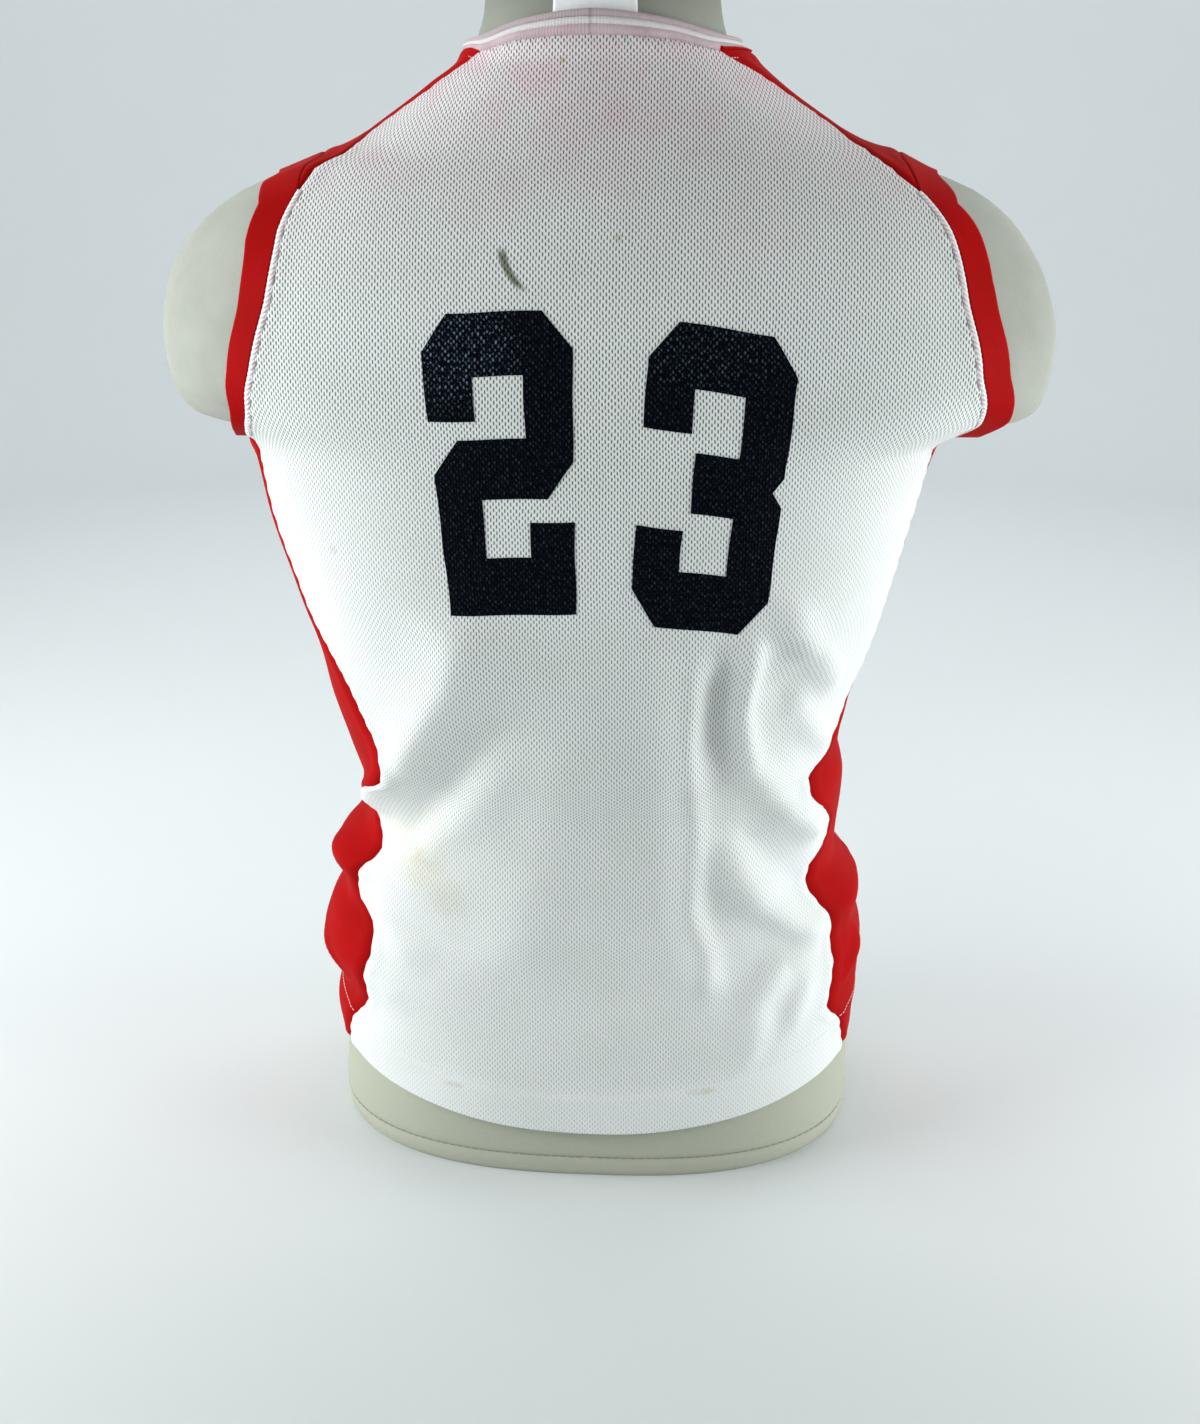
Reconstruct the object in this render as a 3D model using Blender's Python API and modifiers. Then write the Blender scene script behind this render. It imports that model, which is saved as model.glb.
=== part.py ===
"""Sleeveless lacrosse jersey worn on a limbless countertop dress form.

The origin is the centre of the form's flat base and +Z is up.  The back of the jersey, with its
number, faces -Y, and the wearer's left is at -X.  Lengths are in metres.  An angle is in degrees
round the vertical axis, from 0 at the centre back to +90 at +X, 180 at the centre front and -90
at -X.
"""
import math
from collections import namedtuple

import bmesh
import bpy
from mathutils import Vector
from mathutils.bvhtree import BVHTree

COLLECTION = "lacrosse_jersey_on_dress_form"

# ---- driving dimensions -------------------------------------------------------------------
CLOTH_THICKNESS = 0.0012      # knitted polyester, taken as one even wall
PRINT_THICKNESS = 0.0008      # number film on the back
LABEL_THICKNESS = 0.0008
SEAM_INSET = 0.0004           # each piece stops this far short of its seam line
SHOULDER_INSET = 0.0006       # the shoulder seams slant and turn quickly, so those panels stop here
BAND_INSET = 0.0011           # the armhole bands turn a sharp corner there, so they stop shorter
PRINT_CLEARANCE = 0.0008      # from the cloth's face to the number's underside

FORM_SEGMENTS = 40
NECK_TOP = 0.745
STUB_UNDERSIDE = 0.460        # flat cut under each shoulder stub

HEM_BACK = 0.036              # height of the hem at the centre back
HEM_RISE = 0.030              # how much higher it hangs at the sides
HEM_RISE_REACH = 0.200        # height above which the rows are level

UNDERARM_HEIGHT = 0.4535
UNDERARM_LIFT = 0.0075        # from the underarm's lowest point up to the side seams
UNDERARM_HALF_ANGLE = 26.0
SIDE_SEAM_TOP = UNDERARM_HEIGHT + UNDERARM_LIFT
SHOULDER_TOP = 0.6122         # armhole seam on the shoulder ridge
SHOULDER_DROP = 0.0182        # from there down to the shoulder panel's corners
FRONT_NECK_ANGLE = 127.0      # where the shoulder seams meet the collar, at the front
SHOULDER_CORNER = SHOULDER_TOP - SHOULDER_DROP
NECK_CORNER = 0.6655          # where the shoulder seams meet the collar, at the back
FRONT_SEAM_ANGLE = 108.0      # side panel to front panel

BAND_CLEARANCE = 0.0026       # from the stub to the middle of a band's free edge
COLLAR_CLEARANCE = 0.0045     # from the form's neck to the middle of the collar's top edge
LABEL_WIDTH = 0.042
LABEL_BOTTOM, LABEL_TOP = 0.668, 0.712
LABEL_CLEARANCE = 0.0023

BAR = 0.20                    # of the numbers: bar height as a share of their height
STEM = 0.33                   # stem width as a share of their width
CUT_A, CUT_U = 0.19, 0.12     # cut corners, across and up
NUMBER_BEND = 0.72            # how far up the cloth bends in over the shoulder blades

FOLD_RADIUS = 0.140           # turns an angle into a length when folds are measured

# ---- horizontal sections ------------------------------------------------------------------
# half-widths to -X and +X, depths to -Y and +Y, and the corner power of the superellipse
Section = namedtuple("Section", "height left right back front power")

FORM_TRUNK = (
    Section(0.000, 0.1690, 0.1650, 0.1195, 0.1170, 2.6),
    Section(0.004, 0.1725, 0.1685, 0.1215, 0.1190, 2.6),
    Section(0.014, 0.1740, 0.1700, 0.1215, 0.1190, 2.6),
    Section(0.040, 0.1725, 0.1695, 0.1215, 0.1175, 2.5),
    Section(0.065, 0.1695, 0.1665, 0.1200, 0.1150, 2.4),
    Section(0.100, 0.1640, 0.1610, 0.1150, 0.1110, 2.4),
    Section(0.150, 0.1500, 0.1480, 0.1050, 0.1060, 2.3),
    Section(0.210, 0.1390, 0.1380, 0.0980, 0.1040, 2.3),
    Section(0.280, 0.1440, 0.1420, 0.1020, 0.1110, 2.3),
    Section(0.360, 0.1620, 0.1590, 0.1140, 0.1200, 2.35),
    Section(0.430, 0.1780, 0.1760, 0.1220, 0.1240, 2.4),
    Section(0.460, 0.1830, 0.1820, 0.1240, 0.1240, 2.4),
)
FORM_SHOULDERS = (
    Section(0.460, 0.2420, 0.2470, 0.1240, 0.1240, 1.42),
    Section(0.463, 0.2500, 0.2560, 0.1245, 0.1235, 1.48),
    Section(0.469, 0.2560, 0.2625, 0.1250, 0.1230, 1.65),
    Section(0.485, 0.2600, 0.2660, 0.1250, 0.1210, 2.05),
    Section(0.510, 0.2615, 0.2675, 0.1250, 0.1180, 2.2),
    Section(0.540, 0.2565, 0.2600, 0.1225, 0.1100, 2.2),
    Section(0.570, 0.2385, 0.2420, 0.1160, 0.0990, 2.2),
    Section(0.590, 0.2120, 0.2190, 0.1080, 0.0900, 2.2),
    Section(0.605, 0.1765, 0.1840, 0.0985, 0.0820, 2.2),
    Section(0.613, 0.1500, 0.1630, 0.0940, 0.0785, 2.15),
    Section(0.620, 0.1340, 0.1425, 0.0910, 0.0760, 2.15),
    Section(0.635, 0.1095, 0.1165, 0.0820, 0.0710, 2.1),
    Section(0.650, 0.0895, 0.0955, 0.0750, 0.0670, 2.05),
    Section(0.662, 0.0745, 0.0805, 0.0695, 0.0650, 2.0),
    Section(0.675, 0.0685, 0.0715, 0.0665, 0.0635, 2.0),
    Section(0.690, 0.0645, 0.0680, 0.0650, 0.0625, 2.0),
    Section(0.720, 0.0635, 0.0660, 0.0640, 0.0620, 2.0),
    Section(NECK_TOP, 0.0635, 0.0650, 0.0630, 0.0615, 2.0),
)
JERSEY_SECTIONS = (
    Section(0.035, 0.1748, 0.1722, 0.1265, 0.1225, 2.45),
    Section(0.055, 0.1735, 0.1695, 0.1265, 0.1225, 2.45),
    Section(0.075, 0.1765, 0.1700, 0.1260, 0.1225, 2.40),
    Section(0.095, 0.1725, 0.1725, 0.1255, 0.1220, 2.40),
    Section(0.125, 0.1845, 0.1735, 0.1240, 0.1215, 2.30),
    Section(0.145, 0.1785, 0.1695, 0.1235, 0.1210, 2.30),
    Section(0.160, 0.1680, 0.1715, 0.1230, 0.1210, 2.30),
    Section(0.172, 0.1690, 0.1625, 0.1225, 0.1210, 2.30),
    Section(0.187, 0.1705, 0.1530, 0.1220, 0.1210, 2.30),
    Section(0.205, 0.1520, 0.1545, 0.1220, 0.1210, 2.30),
    Section(0.220, 0.1465, 0.1560, 0.1215, 0.1210, 2.30),
    Section(0.240, 0.1525, 0.1570, 0.1215, 0.1215, 2.30),
    Section(0.262, 0.1605, 0.1525, 0.1220, 0.1220, 2.30),
    Section(0.290, 0.1680, 0.1560, 0.1240, 0.1240, 2.30),
    Section(0.320, 0.1745, 0.1665, 0.1265, 0.1270, 2.35),
    Section(0.360, 0.1865, 0.1780, 0.1295, 0.1300, 2.40),
    Section(0.410, 0.2000, 0.1900, 0.1325, 0.1310, 2.45),
    Section(0.453, 0.2095, 0.2010, 0.1335, 0.1300, 2.50),
    Section(0.472, 0.2355, 0.2390, 0.1340, 0.1300, 2.50),
    Section(0.495, 0.2620, 0.2660, 0.1325, 0.1260, 2.30),
    Section(0.515, 0.2660, 0.2710, 0.1310, 0.1220, 2.25),
    Section(0.540, 0.2600, 0.2630, 0.1280, 0.1150, 2.20),
    Section(0.570, 0.2400, 0.2440, 0.1200, 0.1040, 2.20),
    Section(0.590, 0.2140, 0.2200, 0.1120, 0.0950, 2.20),
    Section(0.605, 0.1865, 0.1912, 0.1035, 0.0880, 2.20),
    Section(0.613, 0.1575, 0.1700, 0.0985, 0.0840, 2.15),
    Section(0.620, 0.1403, 0.1490, 0.0945, 0.0800, 2.15),
    Section(0.635, 0.1162, 0.1230, 0.0855, 0.0750, 2.10),
    Section(0.650, 0.0956, 0.1020, 0.0785, 0.0710, 2.05),
    Section(0.662, 0.0795, 0.0880, 0.0735, 0.0690, 2.00),
    Section(0.675, 0.0735, 0.0760, 0.0710, 0.0680, 2.00),
)

# ---- seam lines ---------------------------------------------------------------------------
Turn = namedtuple("Turn", "height angle")             # how far the jersey has slipped round
TURNS = (
    Turn(0.030, 0.0), Turn(0.200, 0.5), Turn(0.270, 1.5), Turn(0.340, 4.0), Turn(0.480, 4.0),
    Turn(0.590, 3.5), Turn(0.620, 1.7), Turn(0.650, 0.0), Turn(0.700, 0.0),
)

SideSeam = namedtuple("SideSeam", "height left right")    # angles of the back panel's side edges
SIDE_SEAMS = (
    SideSeam(0.060, 62.5, 67.0), SideSeam(0.084, 57.5, 62.5), SideSeam(0.101, 52.3, 55.5),
    SideSeam(0.117, 50.0, 57.5), SideSeam(0.135, 47.5, 58.2), SideSeam(0.150, 49.0, 57.3),
    SideSeam(0.159, 54.0, 56.8), SideSeam(0.169, 59.0, 56.5), SideSeam(0.180, 57.0, 56.0),
    SideSeam(0.196, 55.0, 56.5), SideSeam(0.207, 59.5, 62.0), SideSeam(0.219, 65.5, 66.0),
    SideSeam(0.232, 62.5, 60.0), SideSeam(0.245, 56.0, 53.5), SideSeam(0.256, 52.5, 54.5),
    SideSeam(0.270, 58.5, 66.0), SideSeam(0.288, 62.0, 71.0), SideSeam(0.330, 66.0, 72.5),
    SideSeam(0.365, 73.0, 74.0), SideSeam(0.425, 75.0, 73.0), SideSeam(SIDE_SEAM_TOP, 64.0, 64.0),
)

ShoulderSeam = namedtuple("ShoulderSeam", "height left right")    # angles of the seam
SHOULDER_SEAM = (
    ShoulderSeam(SHOULDER_CORNER, 51.5, 49.5), ShoulderSeam(0.601, 53.5, 50.8),
    ShoulderSeam(0.609, 57.5, 54.5), ShoulderSeam(0.618, 66.0, 63.0),
    ShoulderSeam(0.627, 72.0, 71.0), ShoulderSeam(0.636, 71.0, 72.0),
    ShoulderSeam(0.645, 66.5, 70.5), ShoulderSeam(0.653, 64.0, 66.0),
    ShoulderSeam(0.660, 60.0, 57.5), ShoulderSeam(NECK_CORNER, 53.0, 51.0),
)

Armhole = namedtuple("Armhole", "height left right")      # angle from the side line to the seam
ARMHOLE = (
    Armhole(SIDE_SEAM_TOP, UNDERARM_HALF_ANGLE, UNDERARM_HALF_ANGLE), Armhole(0.470, 34.5, 33.0),
    Armhole(0.485, 41.0, 41.5), Armhole(0.509, 44.3, 46.0), Armhole(0.534, 45.6, 46.0),
    Armhole(0.556, 45.4, 44.5), Armhole(0.575, 42.5, 42.5), Armhole(SHOULDER_CORNER, 38.5, 40.5),
)

# the band's free edge: how far out and towards the stub's middle on each side, and up it lies
BandStep = namedtuple("BandStep", "height left left_in right right_in up")
BAND_STEPS = (
    BandStep(UNDERARM_HEIGHT, 0.0065, 0.0000, 0.0210, 0.0000, 0.0000),
    BandStep(SIDE_SEAM_TOP, 0.0055, 0.0000, 0.0165, 0.0000, 0.0000),
    BandStep(0.485, 0.0110, 0.0040, 0.0160, 0.0120, 0.0010),
    BandStep(0.509, 0.0145, 0.0070, 0.0160, 0.0120, -0.0010),
    BandStep(0.534, 0.0160, 0.0070, 0.0170, 0.0100, -0.0040),
    BandStep(0.572, 0.0170, 0.0030, 0.0200, 0.0110, -0.0040),
    BandStep(SHOULDER_CORNER, 0.0230, 0.0020, 0.0200, 0.0110, -0.0080),
    BandStep(SHOULDER_TOP, 0.0245, 0.0000, 0.0215, 0.0000, -0.0095),
)

Neckline = namedtuple("Neckline", "angle seam top")       # heights of the collar's two edges
NECKLINE = (
    Neckline(-180.0, 0.6180, 0.6300), Neckline(-155.0, 0.6270, 0.6375),
    Neckline(-125.0, 0.6490, 0.6570), Neckline(-90.0, 0.6665, 0.6710),
    Neckline(-65.0, 0.6675, 0.6715), Neckline(-53.0, NECK_CORNER, 0.6730),
    Neckline(-30.0, 0.6700, 0.6795), Neckline(0.0, 0.6720, 0.6835),
    Neckline(30.0, 0.6700, 0.6795), Neckline(51.0, NECK_CORNER, 0.6745),
    Neckline(65.0, 0.6660, 0.6725), Neckline(90.0, 0.6655, 0.6715),
    Neckline(125.0, 0.6490, 0.6580), Neckline(155.0, 0.6270, 0.6380),
    Neckline(180.0, 0.6180, 0.6300),
)

# ---- main creases: a ridge or trough of soft cross-section along a path of angle, height -----
Fold = namedtuple("Fold", "path half_width rise")
FOLDS = (
    # back, left of the spine
    Fold(((-20, 0.366), (-25, 0.324), (-38, 0.272), (-64, 0.224)), 0.0170, 0.0070),
    Fold(((-14, 0.294), (-24, 0.249), (-42, 0.208), (-54, 0.200)), 0.0150, 0.0045),
    Fold(((-84, 0.180), (-66, 0.188), (-54, 0.188)), 0.0130, 0.0055),
    Fold(((-53, 0.176), (-42, 0.154), (-31, 0.132)), 0.0150, 0.0040),
    Fold(((-4, 0.300), (-9, 0.218), (-17, 0.136)), 0.0200, 0.0028),
    # back, right of the spine
    Fold(((9, 0.330), (10, 0.220), (11, 0.112)), 0.0220, -0.0025),
    Fold(((18, 0.356), (21, 0.271), (22, 0.167), (24, 0.122)), 0.0150, 0.0045),
    Fold(((30, 0.362), (30, 0.312), (35, 0.274), (45, 0.243), (60, 0.213)), 0.0140, 0.0065),
    Fold(((33, 0.380), (42, 0.347), (58, 0.309)), 0.0140, 0.0045),
    Fold(((40, 0.320), (50, 0.296), (66, 0.264)), 0.0130, 0.0040),
    Fold(((27, 0.228), (37, 0.190), (46, 0.165), (56, 0.150)), 0.0150, 0.0050),
    Fold(((54, 0.150), (41, 0.144), (34, 0.120), (32, 0.086)), 0.0145, 0.0040),
    # front, where the same slack gathers at the waist
    Fold(((158, 0.372), (152, 0.318), (137, 0.262), (116, 0.228)), 0.0175, 0.0055),
    Fold(((166, 0.340), (158, 0.290), (144, 0.246)), 0.0180, -0.0035),
    Fold(((166, 0.264), (147, 0.222), (126, 0.190)), 0.0165, 0.0045),
    Fold(((172, 0.236), (163, 0.170), (160, 0.112)), 0.0180, 0.0030),
    Fold(((128, 0.168), (140, 0.132), (146, 0.092)), 0.0155, 0.0035),
    Fold(((-157, 0.362), (-150, 0.304), (-136, 0.250), (-117, 0.217)), 0.0170, 0.0055),
    Fold(((-166, 0.334), (-158, 0.282), (-145, 0.240)), 0.0180, -0.0035),
    Fold(((-165, 0.252), (-148, 0.208), (-125, 0.178)), 0.0165, 0.0040),
    Fold(((-172, 0.214), (-166, 0.160), (-158, 0.108)), 0.0180, 0.0025),
    Fold(((-124, 0.156), (-139, 0.120), (-144, 0.088)), 0.0155, 0.0035),
)
FOLD_END_FADE = 0.030         # folds die out over this length at each end

# ---- mesh rows: height at each edge of a zone and the rows in it --------------------------------
RowZone = namedtuple("RowZone", "top rows")
LOWER_ZONES = (RowZone(0.090, 3), RowZone(0.300, 13), RowZone(SIDE_SEAM_TOP, 6))
ARMHOLE_ROWS = 8
SHOULDER_ROWS = 6
BACK_COLUMNS = 24
FRONT_COLUMNS = 14
SIDE_COLUMNS = 6
SHOULDER_COLUMNS = 10
BAND_COLUMNS = 2
COLLAR_SEGMENTS = 40
COLLAR_ROWS = 2

# the four corners of each number on the back: distance from the centre line, then height
NumberPlace = namedtuple("NumberPlace", "digit top_left top_right bottom_left bottom_right")
NUMBERS = (
    NumberPlace("2", (-0.0885, 0.5335), (-0.0065, 0.5370), (-0.0750, 0.3705), (-0.0050, 0.3735)),
    NumberPlace("3", (0.0345, 0.5335), (0.1135, 0.5210), (0.0240, 0.3685), (0.0985, 0.3590)),
)
DIGIT_OUTLINES = {        # across 0 to 1, up 0 to 1, anticlockwise from the lower left
    "2": ((0, 0), (1, 0), (1, BAR + CUT_U), (1 - STEM, BAR + CUT_U), (1 - STEM, BAR), (STEM, BAR),
          (STEM, 2 * BAR), (1 - CUT_A, 2 * BAR), (1, 2 * BAR + CUT_U), (1, 1 - CUT_U),
          (1 - CUT_A, 1), (CUT_A, 1), (0, 1 - CUT_U), (0, 0.66), (STEM, 0.66), (STEM, 1 - BAR),
          (1 - STEM, 1 - BAR), (1 - STEM, 3 * BAR), (CUT_A, 3 * BAR), (0, 3 * BAR - CUT_U)),
    "3": ((CUT_A, 0), (1 - CUT_A, 0), (1, CUT_U), (1, 0.45), (0.93, 0.5), (1, 0.55), (1, 1 - CUT_U),
          (1 - CUT_A, 1), (CUT_A, 1), (0, 1 - CUT_U), (0, 0.66), (STEM, 0.66), (STEM, 1 - BAR),
          (1 - STEM, 1 - BAR), (1 - STEM, 3 * BAR), (STEM + 0.04, 3 * BAR),
          (STEM + 0.04, 2 * BAR), (1 - STEM, 2 * BAR), (1 - STEM, BAR), (STEM, BAR), (STEM, 0.34),
          (0, 0.34), (0, CUT_U)),
}

# ---- finishes: colour, roughness, metallic ------------------------------------------------------
Finish = namedtuple("Finish", "color roughness metallic")
WHITE_MESH = Finish((0.80, 0.82, 0.82), 0.75, 0.0)
RED_KNIT = Finish((0.60, 0.012, 0.016), 0.60, 0.0)
NAVY_FILM = Finish((0.008, 0.011, 0.030), 0.38, 0.0)
COLLAR_KNIT = Finish((0.82, 0.74, 0.76), 0.80, 0.0)
LABEL_SATIN = Finish((0.82, 0.84, 0.85), 0.45, 0.0)
FORM_COVER = Finish((0.42, 0.42, 0.39), 0.85, 0.0)


def read(table, key, place, column):
    """A smooth value from a table: a cubic that never overshoots its rows."""
    places = [getattr(row, key) for row in table]
    values = [getattr(row, column) for row in table]
    if place <= places[0]:
        return values[0]
    if place >= places[-1]:
        return values[-1]
    low = max(i for i, each in enumerate(places) if each <= place)
    step = places[low + 1] - places[low]
    share = (place - places[low]) / step

    def slope(index):
        if index in (0, len(values) - 1):
            first = min(index, len(values) - 2)
            return (values[first + 1] - values[first]) / (places[first + 1] - places[first])
        before = (values[index] - values[index - 1]) / (places[index] - places[index - 1])
        after = (values[index + 1] - values[index]) / (places[index + 1] - places[index])
        return 0.0 if before * after <= 0 else 2 * before * after / (before + after)

    rest = 1 - share
    return (values[low] * (1 + 2 * share) * rest ** 2 + slope(low) * step * share * rest ** 2
            + values[low + 1] * share ** 2 * (3 - 2 * share)
            - slope(low + 1) * step * share ** 2 * rest)


def section_at(table, height):
    """The section of a table at any height."""
    return Section(height, *(read(table, "height", height, column)
                             for column in Section._fields[1:]))


def on_section(section, angle, lift=0.0):
    """The point of a section at an angle, moved out by lift."""
    sine, cosine = math.sin(math.radians(angle)), math.cos(math.radians(angle))
    side = (section.left if sine < 0 else section.right) + lift
    depth = (section.back if cosine > 0 else section.front) + lift
    bearing = math.atan2(side * sine, depth * cosine)
    across, along = math.sin(bearing), math.cos(bearing)
    power = section.power
    reach = (abs(across / side) ** power + abs(along / depth) ** power) ** (-1 / power)
    return Vector((reach * across, -reach * along, section.height))


def wrap(angle):
    """The same angle between -180 and 180."""
    return (angle + 180) % 360 - 180


def fold_rise(angle, height):
    """How far the creases lift the cloth at a place."""
    total = 0.0
    for fold in FOLDS:
        best = None
        points = [(math.radians(wrap(a - angle)) * FOLD_RADIUS, h - height) for a, h in fold.path]
        travelled = 0.0
        for (x0, y0), (x1, y1) in zip(points, points[1:]):
            run = math.hypot(x1 - x0, y1 - y0)
            share = -(x0 * (x1 - x0) + y0 * (y1 - y0)) / run ** 2
            inside = min(max(share, 0.0), 1.0)
            distance = math.hypot(x0 + inside * (x1 - x0), y0 + inside * (y1 - y0))
            if best is None or distance < best[0]:
                best = (distance, travelled + inside * run)
            travelled += run
        distance, place = best
        to_end = min(place, travelled - place)
        fade = min(1.0, 0.2 + to_end / FOLD_END_FADE)
        total += fold.rise * fade * math.exp(-(distance / fold.half_width) ** 2)
    return total


def on_jersey(angle, height, lift=0.0):
    """A point of the cloth's middle surface, creases included."""
    return on_section(section_at(JERSEY_SECTIONS, height), angle, lift + fold_rise(angle, height))


def on_form(angle, height, lift=0.0):
    """A point of the dress form's surface above the stubs' underside, moved out by lift."""
    return on_section(section_at(FORM_SHOULDERS, height), angle, lift)


def turned(angle, height):
    """The angle of a place on the jersey once its slip round the body is added."""
    return angle + read(TURNS, "height", height, "angle")


# ---- grids of points ------------------------------------------------------------------------------
def lower_rows():
    """Row heights from the hem to the top of the side seams."""
    heights, bottom = [HEM_BACK], HEM_BACK
    for zone in LOWER_ZONES:
        heights += [bottom + (zone.top - bottom) * (i + 1) / zone.rows for i in range(zone.rows)]
        bottom = zone.top
    return heights


def armhole_rows():
    """Row heights from the top of the side seams to the shoulder panels' corners."""
    step = (SHOULDER_CORNER - SIDE_SEAM_TOP) / ARMHOLE_ROWS
    return [SIDE_SEAM_TOP + step * i for i in range(ARMHOLE_ROWS + 1)]


def hem_lift(angle, row_height):
    """How much a row lies above its height at the centre back."""
    share = max(0.0, 1 - (row_height - HEM_BACK) / (HEM_RISE_REACH - HEM_BACK))
    return HEM_RISE * math.sin(math.radians(angle)) ** 2 * share


def neck_height(angle):
    """Height of the collar seam."""
    return read(NECKLINE, "angle", wrap(angle), "seam")


def underarm_height(share):
    """Height of the armhole seam below the arm, by the share of the way across the panel."""
    return UNDERARM_HEIGHT + UNDERARM_LIFT * (1 - 2 * share) ** 2


def side_name(side):
    """The name of a side, -1 for left and +1 for right."""
    return "left" if side < 0 else "right"


def side_seam(side, height):
    """Angle of the back panel's side edge."""
    return turned(side * read(SIDE_SEAMS, "height", height, side_name(side)), height)


def armhole_angle(side, height):
    """Angle from the side line to the armhole seam."""
    return read(ARMHOLE, "height", height, side_name(side))


def front_seam(side, height):
    """Angle of the front panel's side edge."""
    share = max(0.0, (height - 0.40) / (SIDE_SEAM_TOP - 0.40))
    angle = FRONT_SEAM_ANGLE + (90 + UNDERARM_HALF_ANGLE - FRONT_SEAM_ANGLE) * share
    return turned(side * angle, height)


def back_edge(side, height):
    """Angle of the back panel's edge at any height: side seam, armhole, shoulder seam."""
    if height <= SIDE_SEAM_TOP:
        return side_seam(side, height)
    if height <= SHOULDER_CORNER:
        return turned(side * (90 - armhole_angle(side, height)), height)
    return turned(side * read(SHOULDER_SEAM, "height", height, side_name(side)), height)


def front_edge(side, height):
    """Angle of the front panel's edge at any height."""
    if height <= SIDE_SEAM_TOP:
        return front_seam(side, height)
    if height <= SHOULDER_CORNER:
        return turned(side * (90 + armhole_angle(side, height)), height)
    share = (height - SHOULDER_CORNER) / (NECK_CORNER - SHOULDER_CORNER)
    corner = 90 + armhole_angle(side, SHOULDER_CORNER)
    return turned(side * (corner + (FRONT_NECK_ANGLE - corner) * share), height)


def body_panel(edge, columns, neck_corner):
    """Rows of points of the back or the front, from the hem up to the collar."""
    rows = []
    heights = lower_rows() + armhole_rows()[1:]
    start = len(heights) - 1
    step = (neck_corner - SHOULDER_CORNER) / SHOULDER_ROWS
    heights += [SHOULDER_CORNER + step * (i + 1) for i in range(SHOULDER_ROWS)]
    around = 360 if edge is front_edge else 0
    first, last = edge(-1, neck_corner) + around, edge(1, neck_corner)
    for index, height in enumerate(heights):
        climb = max(0.0, (index - start) / SHOULDER_ROWS)
        left, right = edge(-1, height) + around, edge(1, height)
        row = []
        for column in range(columns + 1):
            share = column / columns
            angle = left + (right - left) * share
            lift = hem_lift(angle, height)
            to_neck = climb * (neck_height(first + (last - first) * share) - neck_corner)
            if lift:
                low, high = edge(-1, height + lift) + around, edge(1, height + lift)
                angle = low + (high - low) * share
            row.append(on_jersey(angle, height + lift + to_neck))
        rows.append(row)
    return rows


def side_panel(side):
    """Rows of points of the panel under the arm, from the back seam to the front seam."""
    rows = []
    heights = lower_rows()
    for height in heights:
        row = []
        climb = max(0.0, (height - LOWER_ZONES[1].top) / (SIDE_SEAM_TOP - LOWER_ZONES[1].top))
        for column in range(SIDE_COLUMNS + 1):
            share = column / SIDE_COLUMNS
            angle = side_seam(side, height) * (1 - share) + front_seam(side, height) * share
            level = height + hem_lift(angle, height)
            angle = side_seam(side, level) * (1 - share) + front_seam(side, level) * share
            level += climb ** 3 * (underarm_height(share) - SIDE_SEAM_TOP)
            row.append(on_jersey(angle, level))
        rows.append(row)
    return rows


def shoulder_panel(side):
    """Rows of points over the shoulder, from the armhole to the collar, back to front."""
    rows = []
    front_corner = neck_height(FRONT_NECK_ANGLE)
    for index in range(SHOULDER_ROWS + 1):
        share = index / SHOULDER_ROWS
        back = SHOULDER_CORNER + (NECK_CORNER - SHOULDER_CORNER) * share
        front = SHOULDER_CORNER + (front_corner - SHOULDER_CORNER) * share
        ridge = SHOULDER_TOP + (neck_height(90) - SHOULDER_TOP) * share ** 1.35
        power = 2 + 2 * (1 - share) ** 4
        first, last = back_edge(side, back), front_edge(side, front)
        row = []
        for column in range(SHOULDER_COLUMNS + 1):
            across = column / SHOULDER_COLUMNS
            angle = first + (last - first) * across
            level = back + (front - back) * across
            level += (ridge - (back + front) / 2) * (1 - abs(1 - 2 * across) ** power)
            row.append(on_jersey(angle, level))
        rows.append(row)
    rows[-1] = [on_jersey(first + (last - first) * i / SHOULDER_COLUMNS,
                          neck_height(first + (last - first) * i / SHOULDER_COLUMNS))
                for i in range(SHOULDER_COLUMNS + 1)]
    return rows


def armhole_loop(side):
    """Places of the armhole seam, once round: angle and height, on the cloth."""
    loop = []
    climb = armhole_rows()
    for column in range(SIDE_COLUMNS):
        share = column / SIDE_COLUMNS
        angle = (front_seam(side, SIDE_SEAM_TOP) * (1 - share)
                 + side_seam(side, SIDE_SEAM_TOP) * share)
        loop.append((angle, underarm_height(share)))
    loop += [(back_edge(side, height), height) for height in climb[:-1]]
    first, last = back_edge(side, SHOULDER_CORNER), front_edge(side, SHOULDER_CORNER)
    for column in range(SHOULDER_COLUMNS):
        across = column / SHOULDER_COLUMNS
        loop.append((first + (last - first) * across,
                     SHOULDER_CORNER + SHOULDER_DROP * (1 - (1 - 2 * across) ** 4)))
    loop += [(front_edge(side, height), height) for height in reversed(climb[1:])]
    return loop


def clear_of_stub(point, clearance):
    """The point, moved out sideways if it lies too near the shoulder stub."""
    if point.z < STUB_UNDERSIDE:
        return point
    section = section_at(FORM_SHOULDERS, point.z)
    side = (section.left if point.x < 0 else section.right) + clearance
    depth = (section.back if point.y < 0 else section.front) + clearance
    fill = (abs(point.x / side) ** section.power
            + abs(point.y / depth) ** section.power) ** (1 / section.power)
    if fill >= 1:
        return point
    return Vector((point.x / fill, point.y / fill, point.z))


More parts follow.
